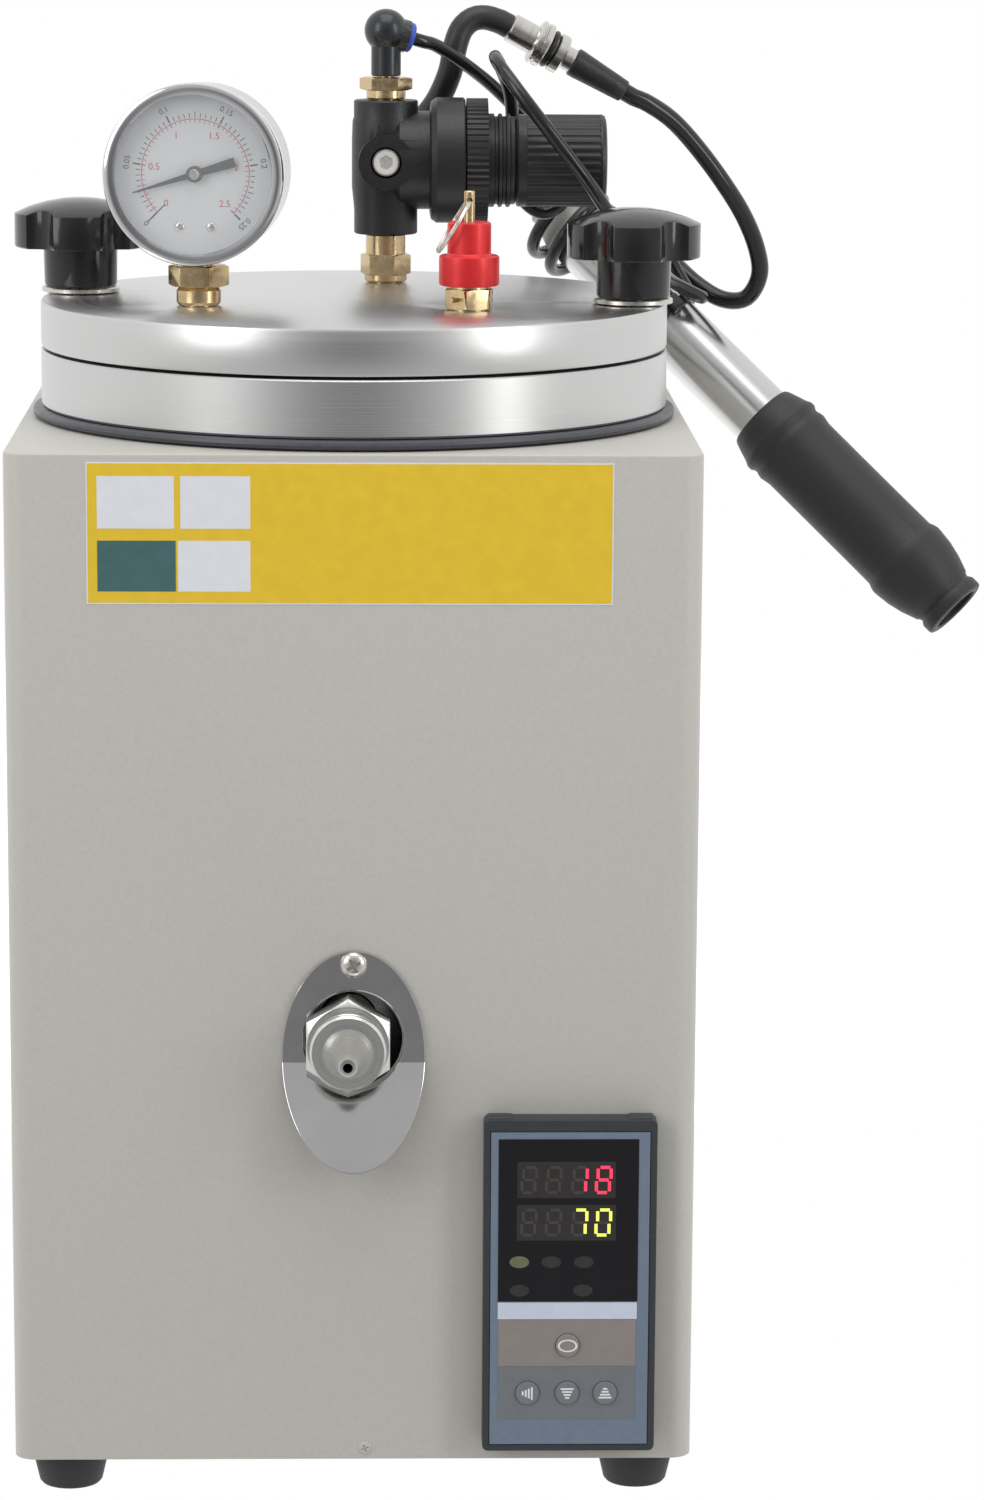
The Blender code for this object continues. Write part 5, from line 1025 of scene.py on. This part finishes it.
dial = turned("dial_disc", [(0, 5.2), (23.3, 5.2), (23.3, 4.4), (0, 4.4)], GAUGE_AT, GAUGE_FACING, sides=128)
fit_piece(dial, dial_silver, "dial_white", "lid", "gauge_dial")
print_black = grain(finish_called("print_black", (0.02, 0.02, 0.022), 0.5), 300, shade=0.05)
print_red = grain(finish_called("print_red", (0.5, 0.04, 0.05), 0.5), 300, shade=0.05)
SCALE_START, SCALE_SWEEP, PRINT_OUT = math.radians(225), math.radians(270), 5.2


def dial_stroke(angle, near, far, width):
    """One scale line, from one radius to another."""
    stroke = block(
        "stroke", Vector((near, -width / 2, 0)) * MM, Vector((far, width / 2, 0.05)) * MM
    )
    return on_gauge(stroke, out=PRINT_OUT, swing=angle)


def dial_number(text, radius, angle, size, swing=0.0):
    """A printed number on the dial, upright or swung round with the scale."""
    bpy.ops.object.text_add()
    words = bpy.context.object
    words.data.body, words.data.size, words.data.extrude = text, size * MM, 0.02 * MM
    words.data.align_x, words.data.align_y = "CENTER", "CENTER"
    pick(words)
    bpy.ops.object.convert(target="MESH")
    return on_gauge(
        bpy.context.object, radius * math.cos(angle), radius * math.sin(angle), PRINT_OUT + 0.03, swing
    )


black_marks, red_marks = [], []
for k in range(51):
    angle = SCALE_START - SCALE_SWEEP * k / 50
    far = 17.9 if k % 10 == 0 else 17.4 if k % 5 == 0 else 16.9
    black_marks.append(dial_stroke(angle, 15.7, far, 0.42 if k % 10 == 0 else 0.22))
for k, text in enumerate(("0", "0.05", "0.1", "0.15", "0.2", "0.25")):
    angle = SCALE_START - SCALE_SWEEP * k / 5
    black_marks.append(dial_number(text, 19.6, angle, 2.3, angle - math.pi / 2))
for k in range(51):
    width = 0.35 if k % 10 == 0 else 0.18
    red_marks.append(dial_stroke(SCALE_START - SCALE_SWEEP * k / 50, 14.3, 15.3, width))
for k in range(90):
    middle = SCALE_START - SCALE_SWEEP * (k + 0.5) / 90
    red_marks.append(dial_stroke(middle, 15.2, 15.4, 0.86))
for k, text in enumerate(("0", "0.5", "1", "1.5", "2", "2.5")):
    red_marks.append(dial_number(text, 11.8, SCALE_START - SCALE_SWEEP * k / 5, 2.7))
fit_piece(joined("dial_print_black", black_marks), print_black, None, "lid")
fit_piece(joined("dial_print_red", red_marks), print_red, None, "lid")
dial_screws = [
    cross_screw("dial_screw", TO_GAUGE @ (Vector((side, -14.8, 5.2)) * MM), GAUGE_FACING, 1.4 * MM, 0.6 * MM)
    for side in (-4.5, 4.5)
]
fit_piece(joined("dial_screws", dial_screws), zinc, "zinc_steel", "lid")
needle_black = grain(finish_called("needle_black", (0.015, 0.015, 0.016), 0.35), 300, gloss=0.05)
NEEDLE_REST, NEEDLE_REACH, NEEDLE_TAIL = math.radians(197), 18.4, 11.9
blade = block("blade", Vector((-NEEDLE_TAIL, -1.4, 6.25)) * MM, Vector((NEEDLE_REACH, 1.4, 6.65)) * MM)
bpy.ops.object.mode_set(mode="EDIT")
select_where("VERT", lambda at, way: at.x > 0)
bpy.ops.transform.resize(value=(1, 0.12, 1), center_override=(0, 0, 0))
bpy.ops.object.mode_set(mode="OBJECT")
on_gauge(blade, swing=NEEDLE_REST)
hub = turned(
    "hub", [(0, 7.75), (1.9, 7.75), (2.3, 7.3), (2.3, 5.7), (0, 5.7)], GAUGE_AT, GAUGE_FACING, sides=48
)
needle = joined("gauge_pointer", [blade, hub])
pointer_cap = turned(
    "pointer_cap", [(0, 7.85), (1.3, 7.85), (1.6, 7.6), (1.6, 7), (0, 7)], GAUGE_AT, GAUGE_FACING
)
fit_piece(pointer_cap, zinc, "zinc_steel", "needle")
zero_stop = dial_stroke(math.radians(225), 12.2, 19.2, 0.3)
zero_stop.name = "gauge_zero_stop"
fit_piece(needle, needle_black, "needle_black", "needle", "gauge_needle")
fit_piece(zero_stop, needle_black, "needle_black", "lid")
gauge_glass = grain(finish_called("gauge_glass", (0.9, 0.93, 0.95), 0.03), 40, gloss=0.015)
gauge_glass.node_tree.nodes["Principled BSDF"].inputs["Alpha"].default_value = 0.1
lens = turned(
    "gauge_lens_clear",
    [(0, 10.15), (22.4, 10.1), (23.3, 9.9), (23.3, 8.8), (0, 8.8)], GAUGE_AT, GAUGE_FACING, sides=128
)
fit_piece(lens, gauge_glass, "gauge_glass", "lid", "gauge_lens")

# Gauge socket. Turned brass: a hexagon over a round collar, with its thread in the lid. The gauge's bent
# brass tube stands on it inside the case.

brass = finish_called("fitting_brass", (0.62, 0.47, 0.27), 0.24, 1)
grain(brass, 600, shade=0.06, gloss=0.08, depth=0.00001)
gauge_foot = spot(-44, -24, 0)
socket = turned(
    "socket_collar",
    [
        (0, 343), (4, 343), (4, 339.5), (6, 339.3), (6, 333.9), (5.6, 333.5), (6.3, 332.6), (6.3, 329.3),
        (5.8, 328.5), (4.7, 328.5), (4.7, 318.3), (0, 318.3),
    ],
    gauge_foot,
)
socket_hex = hex_nut("socket_hex", 15, 333.7, 339.7, gauge_foot, UP, corner=GAUGE_SIDE)
fit_piece(joined("gauge_socket_brass", [socket, socket_hex]), brass, "fitting_brass", "lid", "gauge_stem")
refinish(brass, "bourdon_tube")

# Regulator. Moulded in glass-filled nylon: an upright column with ports front and back carries a flange,
# a knurled ring nut that clamps the bonnet, and a ribbed knob whose spring sets the pressure.

nylon = finish_called("regulator_nylon", (0.013, 0.013, 0.014), 0.42)
grain(nylon, 1100, shade=0.12, gloss=0.08, depth=0.00004)
COLUMN, BAR_AXIS, PORT_MIDDLE = spot(9.2, 50, 0), spot(0, 50, 364.5), spot(9.2, 50, 364.5)
column = turned(
    "regulator_column",
    [
        (0, 382.2), (9.1, 382.2), (9.5, 381.8), (9.5, 377.2), (9.9, 376), (10.1, 370), (10.1, 356.8),
        (9.6, 352), (9.4, 349.8), (9.4, 343.2), (9, 342.8), (0, 342.8),
    ],
    COLUMN,
)
bar = turned(
    "bar",
    [
        (0, 32.7), (17.9, 32.7), (18.5, 32.2), (18.5, 24.2), (17.4, 22.6), (16, 22.3), (14.5, 22.1),
        (14.5, 13.2), (11, 9.8), (0, 9.2),
    ],
    BAR_AXIS,
    RIGHT,
    sides=128,
)
front_boss = cylinder("boss", 8.1 * MM, PORT_MIDDLE, PORT_MIDDLE + FRONT * 14 * MM, 64)
rear_boss = cylinder("boss", 8.1 * MM, PORT_MIDDLE, PORT_MIDDLE + BACK * 14 * MM, 64)
combine(column, "UNION", bar, front_boss, rear_boss)
drill(column, 12.5, BAR_AXIS + RIGHT * 20.3 * MM, BAR_AXIS + RIGHT * 41 * MM)
for way in (FRONT, BACK):
    drill(column, 4.6, PORT_MIDDLE + way * 7.5 * MM, PORT_MIDDLE + way * 20 * MM, 48)
for low, high in ((337, 351), (374, 388)):
    drill(column, 4.2, COLUMN + UP * low * MM, COLUMN + UP * high * MM, 48)
soften(column, 0.5 * MM, 3, 32)
fit_piece(column, nylon, "regulator_nylon", "lid", "regulator_body")


def ribbed(name, radius, depth, ribs, start, end, at, along):
    """A solid with fine lengthwise ribs, between two distances in millimetres."""
    along = Vector(along).normalized()
    made = cylinder(name, radius * MM, at + along * start * MM, at + along * end * MM, ribs * 4)
    bpy.ops.object.mode_set(mode="EDIT")
    out, side = along.orthogonal().normalized(), along.cross(along.orthogonal().normalized())
    steps = 2 * math.pi / (ribs * 4)

    def in_valley(place, _):
        around = place - at
        angle = math.atan2(around.dot(side), around.dot(out))
        return round(angle / steps) % 4 < 2

    select_where("VERT", in_valley)
    share = 1 - depth / radius
    inward = Vector((share, share, share))
    for k in range(3):
        if abs(along[k]) > 0.9:
            inward[k] = 1
    bpy.ops.transform.resize(value=inward, center_override=at)
    bpy.ops.object.mode_set(mode="OBJECT")
    return made


ring_nut = ribbed("ring_nut", 18.3, 0.45, 60, 33.1, 39.4, BAR_AXIS, RIGHT)
drill(ring_nut, 14.1, BAR_AXIS + RIGHT * 30 * MM, BAR_AXIS + RIGHT * 45 * MM)
drill(ring_nut, 16.9, BAR_AXIS + RIGHT * 30 * MM, BAR_AXIS + RIGHT * 35.3 * MM)
pick(ring_nut)
bpy.ops.object.shade_smooth_by_angle(angle=math.radians(15))
fit_piece(ring_nut, nylon, "regulator_nylon", "lid", "regulator_nut")
bonnet = turned(
    "regulator_bonnet_moulding",
    [
        (9, 62.6), (11.2, 62.6), (11.2, 47.6), (12.6, 47.6), (13, 47.2), (13, 46.2), (13.8, 45.8),
        (13.8, 44.9), (13, 44.6), (13, 43.8), (13.8, 43.5), (13.8, 42.6), (13, 42.3), (13, 41.5),
        (13.8, 41.2), (13.8, 35), (16.6, 35), (16.6, 33), (9, 33), (9, 62.6),
    ],
    BAR_AXIS,
    RIGHT,
)
fit_piece(bonnet, nylon, "regulator_nylon", "lid", "regulator_bonnet")
knob = ribbed("knob", 13.65, 0.3, 36, 50.4, 73.0, BAR_AXIS, RIGHT)
knob_ends = turned(
    "knob_ends",
    [
        (0, 74.5), (12.1, 74.5), (13.2, 74.1), (13.65, 73.2), (13.65, 72.6), (13.2, 72.2), (13.2, 51.2),
        (13.65, 50.8), (13.65, 48.4), (13.2, 47.9), (11.5, 47.9), (11.5, 71.9), (0, 71.9),
    ],
    BAR_AXIS,
    RIGHT,
)
drill(knob, 11.6, BAR_AXIS + RIGHT * 45 * MM, BAR_AXIS + RIGHT * 71.9 * MM)
knob = joined("regulator_knob_moulding", [knob_ends, knob])
bpy.ops.object.shade_smooth_by_angle(angle=math.radians(25))
fit_piece(knob, nylon, "regulator_nylon", "regulator_knob", "regulator_knob")

# Port plug. A nickel-plated steel plug with a socket for a hexagon key, screwed into the regulator's
# front port. Its near-white colour at low metallic is painted reflection, standing in for the plating's
# bright shine.

# Painted reflection: a near-white base colour with low metallic makes the plug as bright as its mirror shine
# would.
plug_chrome = finish_called("plug_chrome", (0.9, 0.89, 0.85), 0.3, 0.35)
turning_marks(plug_chrome, PORT_MIDDLE, FRONT, 900, shade=0.04, gloss=0.06, depth=0.00001)
plug = turned(
    "port_plug_steel",
    [(0, 13.3), (3.5, 13.3), (4, 12.8), (4, 8.1), (0, 8.1)], PORT_MIDDLE, FRONT, sides=64,
)
key_socket = hex_nut("cut", 4, 10.4, 16, PORT_MIDDLE, FRONT, corner=UP)
combine(plug, "DIFFERENCE", key_socket)
soften(plug, 0.12 * MM, 2, 40)
fit_piece(plug, plug_chrome, "plug_chrome", "lid", "port_plug")

# Brass nipples. One carries the regulator on the lid, the other joins the push-in elbow to its top.

outlet = turned(
    "outlet_collars",
    [
        (0, 348.5), (3.7, 348.5), (3.7, 342.5), (5.7, 342.5), (5.9, 342.3), (5.9, 336), (6, 331),
        (6.3, 330.6), (6.3, 329), (5.8, 328.5), (4.7, 328.5), (4.7, 318.3), (0, 318.3),
    ],
    COLUMN,
)
outlet_hex = hex_nut("outlet_hex", 13.2, 330.7, 336.8, COLUMN, UP, corner=Vector((0.35, -1, 0)))
outlet_nipple = joined("outlet_nipple_brass", [outlet, outlet_hex])
fit_piece(outlet_nipple, brass, "fitting_brass", "lid", "outlet_nipple")
elbow_screw = turned(
    "elbow_collars",
    [
        (0, 393.8), (2.4, 393.8), (2.4, 388), (5.4, 387.9), (5.8, 387.5), (5.8, 382.9), (5.4, 382.5),
        (3.7, 382.5), (3.7, 376.6), (0, 376.6),
    ],
    COLUMN,
)
elbow_hex = hex_nut("elbow_hex", 13.6, 385.1, 388.9, COLUMN, UP, corner=Vector((0.5, -1, 0)))
elbow_nipple = joined("elbow_nipple_brass", [elbow_screw, elbow_hex])
fit_piece(elbow_nipple, brass, "fitting_brass", "lid", "elbow_nipple")

# Push-in elbow. Glossy black plastic with a ball corner; a blue release ring grips the thin tube.

elbow_plastic = finish_called("elbow_plastic_black", (0.018, 0.02, 0.024), 0.24)
grain(elbow_plastic, 300, gloss=0.05, depth=0.00002)
elbow = turned("elbow_stem", [(0, 402), (4.4, 402), (4.4, 389.6), (4, 389.2), (0, 389.2)], COLUMN)
bpy.ops.object.select_all(action="DESELECT")
bpy.ops.mesh.primitive_uv_sphere_add(segments=64, ring_count=32, radius=6.4 * MM, location=ELBOW_BALL)
ball = bpy.context.object
bpy.ops.object.transform_apply(location=True, rotation=True, scale=True)
arm = cylinder("arm", 4.8 * MM, ELBOW_BALL, ELBOW_BALL + ELBOW_AIM * 6.6 * MM)
combine(elbow, "UNION", ball, arm)
drill(elbow, 2.7, COLUMN + UP * 385 * MM, COLUMN + UP * 394.5 * MM, 48)
soften(elbow, 0.25 * MM, 2, 40)
fit_piece(elbow, elbow_plastic, "elbow_plastic", "lid", "elbow_fitting")
release_blue = grain(finish_called("release_ring_blue", (0.03, 0.09, 0.5), 0.35), 300, shade=0.05)
release = turned(
    "elbow_release_ring",
    [(2.3, 8.2), (4, 8.2), (4.4, 7.8), (4.4, 6.7), (2.3, 6.7), (2.3, 8.2)], ELBOW_BALL, ELBOW_AIM, sides=64,
)
fit_piece(release, release_blue, "elbow_plastic", "lid")

# Safety valve. A brass hexagon with a vent hole, a red anodised cap turned in two steps, a brass stem with
# an eye, and a split ring of two wire turns to pull it by.

VALVE = spot(32.2, -34, 0)
valve_body = turned(
    "valve_seat",
    [
        (1.8, 334.7), (5.8, 334.7), (5.8, 328.6), (4.7, 328.5), (4.7, 318.3), (1.8, 318.3), (1.8, 334.7),
    ],
    VALVE,
)
valve_hex = hex_nut("valve_hex", 12.7, 328.5, 334.3, VALVE, UP, corner=Vector((-0.12, -1, 0)))
VENT_WAY = Vector((-0.6, -0.8, 0)).normalized()
drill(valve_hex, 5.7, VALVE + UP * 320 * MM, VALVE + UP * 340 * MM)
vent_at = VALVE + UP * 331.4 * MM
for brass_piece in (valve_body, valve_hex):
    drill(brass_piece, 0.9, vent_at + VENT_WAY * 3.4 * MM, vent_at + VENT_WAY * 9 * MM, 32)
valve_body = joined("valve_body_brass", [valve_body, valve_hex])
fit_piece(valve_body, brass, "fitting_brass", "lid", "valve_body")
cap_red = finish_called("cap_red_anodised", (0.68, 0.022, 0.025), 0.36, 0.25)
turning_marks(cap_red, VALVE, UP, 1500, shade=0.05, gloss=0.07, depth=0.00001)
valve_cap = turned(
    "valve_cap_red",
    [
        (1.8, 352.8), (5.6, 352.8), (6.05, 352.5), (6.15, 351.9), (6.15, 344.1), (6.6, 343.6), (7.9, 343.55),
        (8.4, 343.2), (8.5, 342.6), (8.5, 335.8), (8.3, 335.2), (7.8, 335), (1.8, 335), (1.8, 352.8),
    ],
    VALVE,
)
fit_piece(valve_cap, cap_red, "cap_red", "lid", "valve_cap")
valve_stem = turned(
    "valve_stem_brass", [(0, 361.5), (1.2, 361.5), (1.5, 361.2), (1.5, 319.3), (0, 319.3)], VALVE
)
EYE = VALVE + UP * 358.8 * MM
drill(valve_stem, 0.85, EYE + FRONT * 4 * MM, EYE + BACK * 4 * MM, 32)
soften(valve_stem, 0.1 * MM, 2, 40)
fit_piece(valve_stem, brass, "fitting_brass", "relief_stem", "valve_stem")
ring_wire = finish_called("ring_wire_nickel", (0.62, 0.6, 0.56), 0.22, 1)
grain(ring_wire, 900, shade=0.06, gloss=0.06)
RING_TILT, RING_RADIUS = math.radians(31.5), 8.4 * MM
RING_HANG = Vector((-math.sin(RING_TILT), 0, -math.cos(RING_TILT)))
RING_MIDDLE, RING_OUT = EYE + RING_HANG * RING_RADIUS, RING_HANG.cross(BACK).normalized()
RING_TURNS, RING_STEPS, RING_PITCH = 2, 40, 0.8 * MM
coils = []
for k in range(RING_TURNS * RING_STEPS + 1):
    angle = 2 * math.pi * k / RING_STEPS
    flat = RING_HANG * -math.cos(angle) + BACK * math.sin(angle)
    share = k / (RING_TURNS * RING_STEPS) - 0.5
    coils.append(RING_MIDDLE + flat * RING_RADIUS + RING_OUT * share * RING_PITCH)
pull_ring = bent_tube("pull_ring_wire", coils, 0.38 * MM, 4)
fit_piece(pull_ring, ring_wire, "ring_wire", "relief_ring", "pull_ring")

# Gooseneck and coupler. A thick rubber neck rises from the regulator's rear port to a nickel-plated swivel
# coupler with knurled rings and a rubber seal, and a tapered strain relief leads to the hose.

hose_rubber = finish_called("hose_rubber_black", (0.016, 0.016, 0.017), 0.42)
grain(hose_rubber, 700, shade=0.1, gloss=0.08, depth=0.00003)
GOOSE_ROUTE = [
    (12, 77, 366.5), (18, 80, 372), (24.5, 77, 380), (28.5, 74, 389), (30, 74, 396.5), (32, 75, 402),
    (35.4, 76, 405), (39.4, 76.7, 405.5),
]
goose_start, goose_end = PORT_MIDDLE + BACK * 14.3 * MM, COUPLER_AT - COUPLER_AIM * JOINT_GAP
route = [goose_start + BACK * STRAIGHT, *(spot(*p) for p in GOOSE_ROUTE), goose_end - COUPLER_AIM * STRAIGHT]
goose_line = [goose_start, *smooth_line(route, 1.5 * MM), goose_end]
gooseneck = bent_tube("gooseneck_rubber", goose_line, 3.7 * MM, 8)
fit_piece(gooseneck, hose_rubber, "hose_rubber", "lid", "gooseneck")
nickel = finish_called("coupler_nickel", (0.62, 0.6, 0.57), 0.2, 1)
turning_marks(nickel, COUPLER_AT, COUPLER_AIM, 1200, shade=0.06, gloss=0.08, depth=0.00001)
coupler = turned(
    "coupler_sleeves",
    [
        (0, 21.5), (3.6, 21.5), (3.6, 18.6), (5.4, 18.3), (6, 17.8), (6, 15.4), (5.5, 15), (4.6, 14.8),
        (4.6, 12.7), (6.3, 12.5), (6.8, 12), (6.8, 10.6), (6.3, 10.3), (6.3, 9.9), (6.8, 9.6), (6.8, 8.9),
        (6.2, 8.4), (4.4, 8), (4.4, 0.4), (4, 0), (0, 0),
    ],
    COUPLER_AT,
    COUPLER_AIM,
)
fit_piece(coupler, nickel, "plug_chrome", "lid", "hose_coupler")
seal_black = grain(finish_called("coupler_seal_black", (0.015, 0.015, 0.016), 0.3), 500, gloss=0.06)
coupler_seal = turned(
    "coupler_seal_ring",
    [(4.7, 14.7), (5.4, 14.6), (5.9, 14.1), (5.9, 13.4), (5.4, 12.9), (4.7, 12.8), (4.7, 14.7)],
    COUPLER_AT, COUPLER_AIM,
)
fit_piece(coupler_seal, seal_black, "hose_rubber", "lid")
relief = turned(
    "strain_relief_rubber",
    [
        (0, 18), (3.1, 18), (3.35, 17.6), (3.6, 14), (3.9, 9), (4.3, 3), (4.4, 1.8), (4.4, 0.3), (4.1, 0),
        (0, 0),
    ],
    RELIEF_AT, RELIEF_AIM, sides=64,
)
fit_piece(relief, hose_rubber, "hose_rubber", "lid", "strain_relief")

# Hand pump. A grey moulded head with the hose's tip and the tube's port, a satin chromed barrel, a piston
# rod, and a black rubber grip that slides over the barrel.

head_grey = finish_called("pump_head_grey", (0.42, 0.42, 0.4), 0.42)
grain(head_grey, 700, shade=0.06, gloss=0.06, depth=0.00002)
pump_head = turned(
    "pump_head_moulding",
    [
        (1.4, 21.4), (8.5, 21.4), (8.5, 17.4), (9.6, 17.4), (10, 17), (10, 14), (9.6, 12.8), (7.4, 6.6),
        (7, 5.8), (7, 3.6), (6.4, 3), (4.2, 2.2), (4.2, 0.5), (3.7, 0), (1.4, 0), (1.4, 21.4),
    ],
    PUMP_TIP,
    PUMP_AXIS,
)
port_at = on_pump(PORT_AT) + PORT_SIDE * PORT_OFF * MM
port = turned("port", [(0, 6), (2.6, 6), (3, 5.6), (3, -5), (0, -5)], port_at, PORT_AIM, sides=48)
fit_piece(joined("pump_head_grey", [pump_head, port]), head_grey, "pump_head_grey", "base", "pump_head")
barrel_satin = finish_called("barrel_satin_chrome", (0.6, 0.6, 0.595), 0.24, 1)
turning_marks(barrel_satin, PUMP_TIP, PUMP_AXIS, 1800, shade=0.04, gloss=0.05, depth=0.00001)
barrel = turned(
    "pump_barrel_tube",
    [
        (8.8, 17.7), (8.8, 167.7), (3.8, 167.7), (3.8, 171.7), (9.6, 171.7), (10, 171.3), (10, 18.1),
        (9.7, 17.7), (8.8, 17.7),
    ],
    PUMP_TIP,
    PUMP_AXIS,
    sides=128,
)
fit_piece(barrel, barrel_satin, "barrel_satin", "base", "pump_barrel")
pump_rod = turned(
    "pump_rod_steel",
    [(0, 176), (3.5, 176), (3.5, 37.7), (8.5, 37.7), (8.5, 25.7), (0, 25.7)], PUMP_TIP, PUMP_AXIS, sides=64
)
fit_piece(pump_rod, zinc, "zinc_steel", "pump_handle", "pump_rod")
grip_rubber = finish_called("grip_rubber_black", (0.021, 0.021, 0.023), 0.52)
grain(grip_rubber, 900, shade=0.1, gloss=0.08, depth=0.00004)
grip = turned(
    "pump_grip_rubber",
    [
        (0, 182.3), (6.2, 182.3), (7.4, 182.5), (7.6, 183.6), (7.6, 185.0), (8, 185.3), (9.6, 185.3),
        (10.4, 184.9), (10.6, 184.3), (10.6, 181.9), (10.2, 181.2), (9.7, 180.5), (9.9, 179.6), (10.6, 178.8),
        (12.3, 174), (13.4, 169.3), (13.9, 165), (14, 163.3), (13.7, 162.1), (13.1, 160.6), (13.05, 150),
        (13.05, 130), (13.1, 116.7), (13.35, 115), (13.7, 113.4), (13.5, 112.2), (13.1, 110.9), (13.3, 110),
        (13.95, 109), (13.95, 107.8), (13.5, 106.9), (13.05, 105.8), (12.4, 103.6), (11.4, 100.6),
        (10.9, 99.8), (10.3, 99.7), (10.3, 176.3), (0, 176.3),
    ],
    PUMP_TIP,
    PUMP_AXIS,
    sides=128,
    over=40,
)


def thumb_pad(turn):
    """A shallow dished pad cut into the grip's flare, at one side of it."""
    way = PUMP_UP * math.cos(turn) + PUMP_SIDE * math.sin(turn)
    centre = on_pump(165.5) + way * 14.6 * MM
    bpy.ops.object.select_all(action="DESELECT")
    bpy.ops.mesh.primitive_uv_sphere_add(segments=48, ring_count=24, radius=1)
    dish = bpy.context.object
    dish.matrix_world = (
        Matrix.Translation(centre) @ Matrix((PUMP_AXIS, PUMP_AXIS.cross(way), way)).transposed().to_4x4()
        @ Matrix.Diagonal((7 * MM, 3.6 * MM, 2.2 * MM, 1))
    )
    bpy.ops.object.transform_apply(location=True, rotation=True, scale=True)
    return dish


combine(grip, "DIFFERENCE", *(thumb_pad(math.radians(60 + 90 * k)) for k in range(4)))
pick(grip)
bpy.ops.object.shade_smooth_by_angle(angle=math.radians(40))
fit_piece(grip, grip_rubber, "grip_rubber", "pump_handle", "pump_grip")
refinish(zinc, "pump_bracket")

# Cable tie. A thin nylon strap that holds the thin tube to the barrel, with its small square head.

tie_nylon = grain(finish_called("tie_nylon_black", (0.015, 0.015, 0.016), 0.35), 500, gloss=0.06)
TIE_AT, TIE_HALF_W, TIE_IN, TIE_OUT = 57, 1.5, 10.05, 11.1
tie_low, tie_high = TIE_AT - TIE_HALF_W, TIE_AT + TIE_HALF_W
tie = turned(
    "tie_strap",
    [(TIE_IN, tie_low), (TIE_OUT, tie_low), (TIE_OUT, tie_high), (TIE_IN, tie_high), (TIE_IN, tie_low)],
    PUMP_TIP,
    PUMP_AXIS,
)
tie_head = block("tie_head", Vector((-2.4, -2.1, 0)) * MM, Vector((2.4, 2.1, 3.2)) * MM, 0.4 * MM)
tie_way = (PUMP_UP - PUMP_SIDE * 0.9).normalized()
tie_head.matrix_world = Matrix.Translation(on_pump(TIE_AT) + tie_way * 10.6 * MM) @ Matrix(
    (PUMP_AXIS, tie_way.cross(PUMP_AXIS), tie_way)
).transposed().to_4x4()
pick(tie_head)
bpy.ops.object.transform_apply(location=True, rotation=True, scale=True)
fit_piece(joined("cable_tie", [tie, tie_head]), tie_nylon, None, "base")

# Mains inlet. A black moulded socket with three brass pins and a rocker switch above it, clipped into the
# back panel's opening.

inlet_plastic = finish_called("inlet_plastic_black", (0.02, 0.02, 0.021), 0.4)
refinish(grain(inlet_plastic, 1100, shade=0.08, gloss=0.06, depth=0.00003), "power_inlet")
rocker_black = finish_called("rocker_plastic_black", (0.03, 0.03, 0.031), 0.25)
refinish(grain(rocker_black, 600, gloss=0.05), "power_rocker")
inlet_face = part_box("power_inlet")[1]
pins = []
for x, z in ((-47, 48.2), (-33, 48.2), (-40, 52.6)):
    low, high = spot(x - 1, 0, z - 2), spot(x + 1, 0, z + 2)
    low.y, high.y = inlet_face.y - 16.2 * MM, inlet_face.y - 3.5 * MM
    pins.append(block("pin", low, high, 0.4 * MM, 2))
fit_piece(joined("inlet_pins", pins), brass, "fitting_brass", "base")
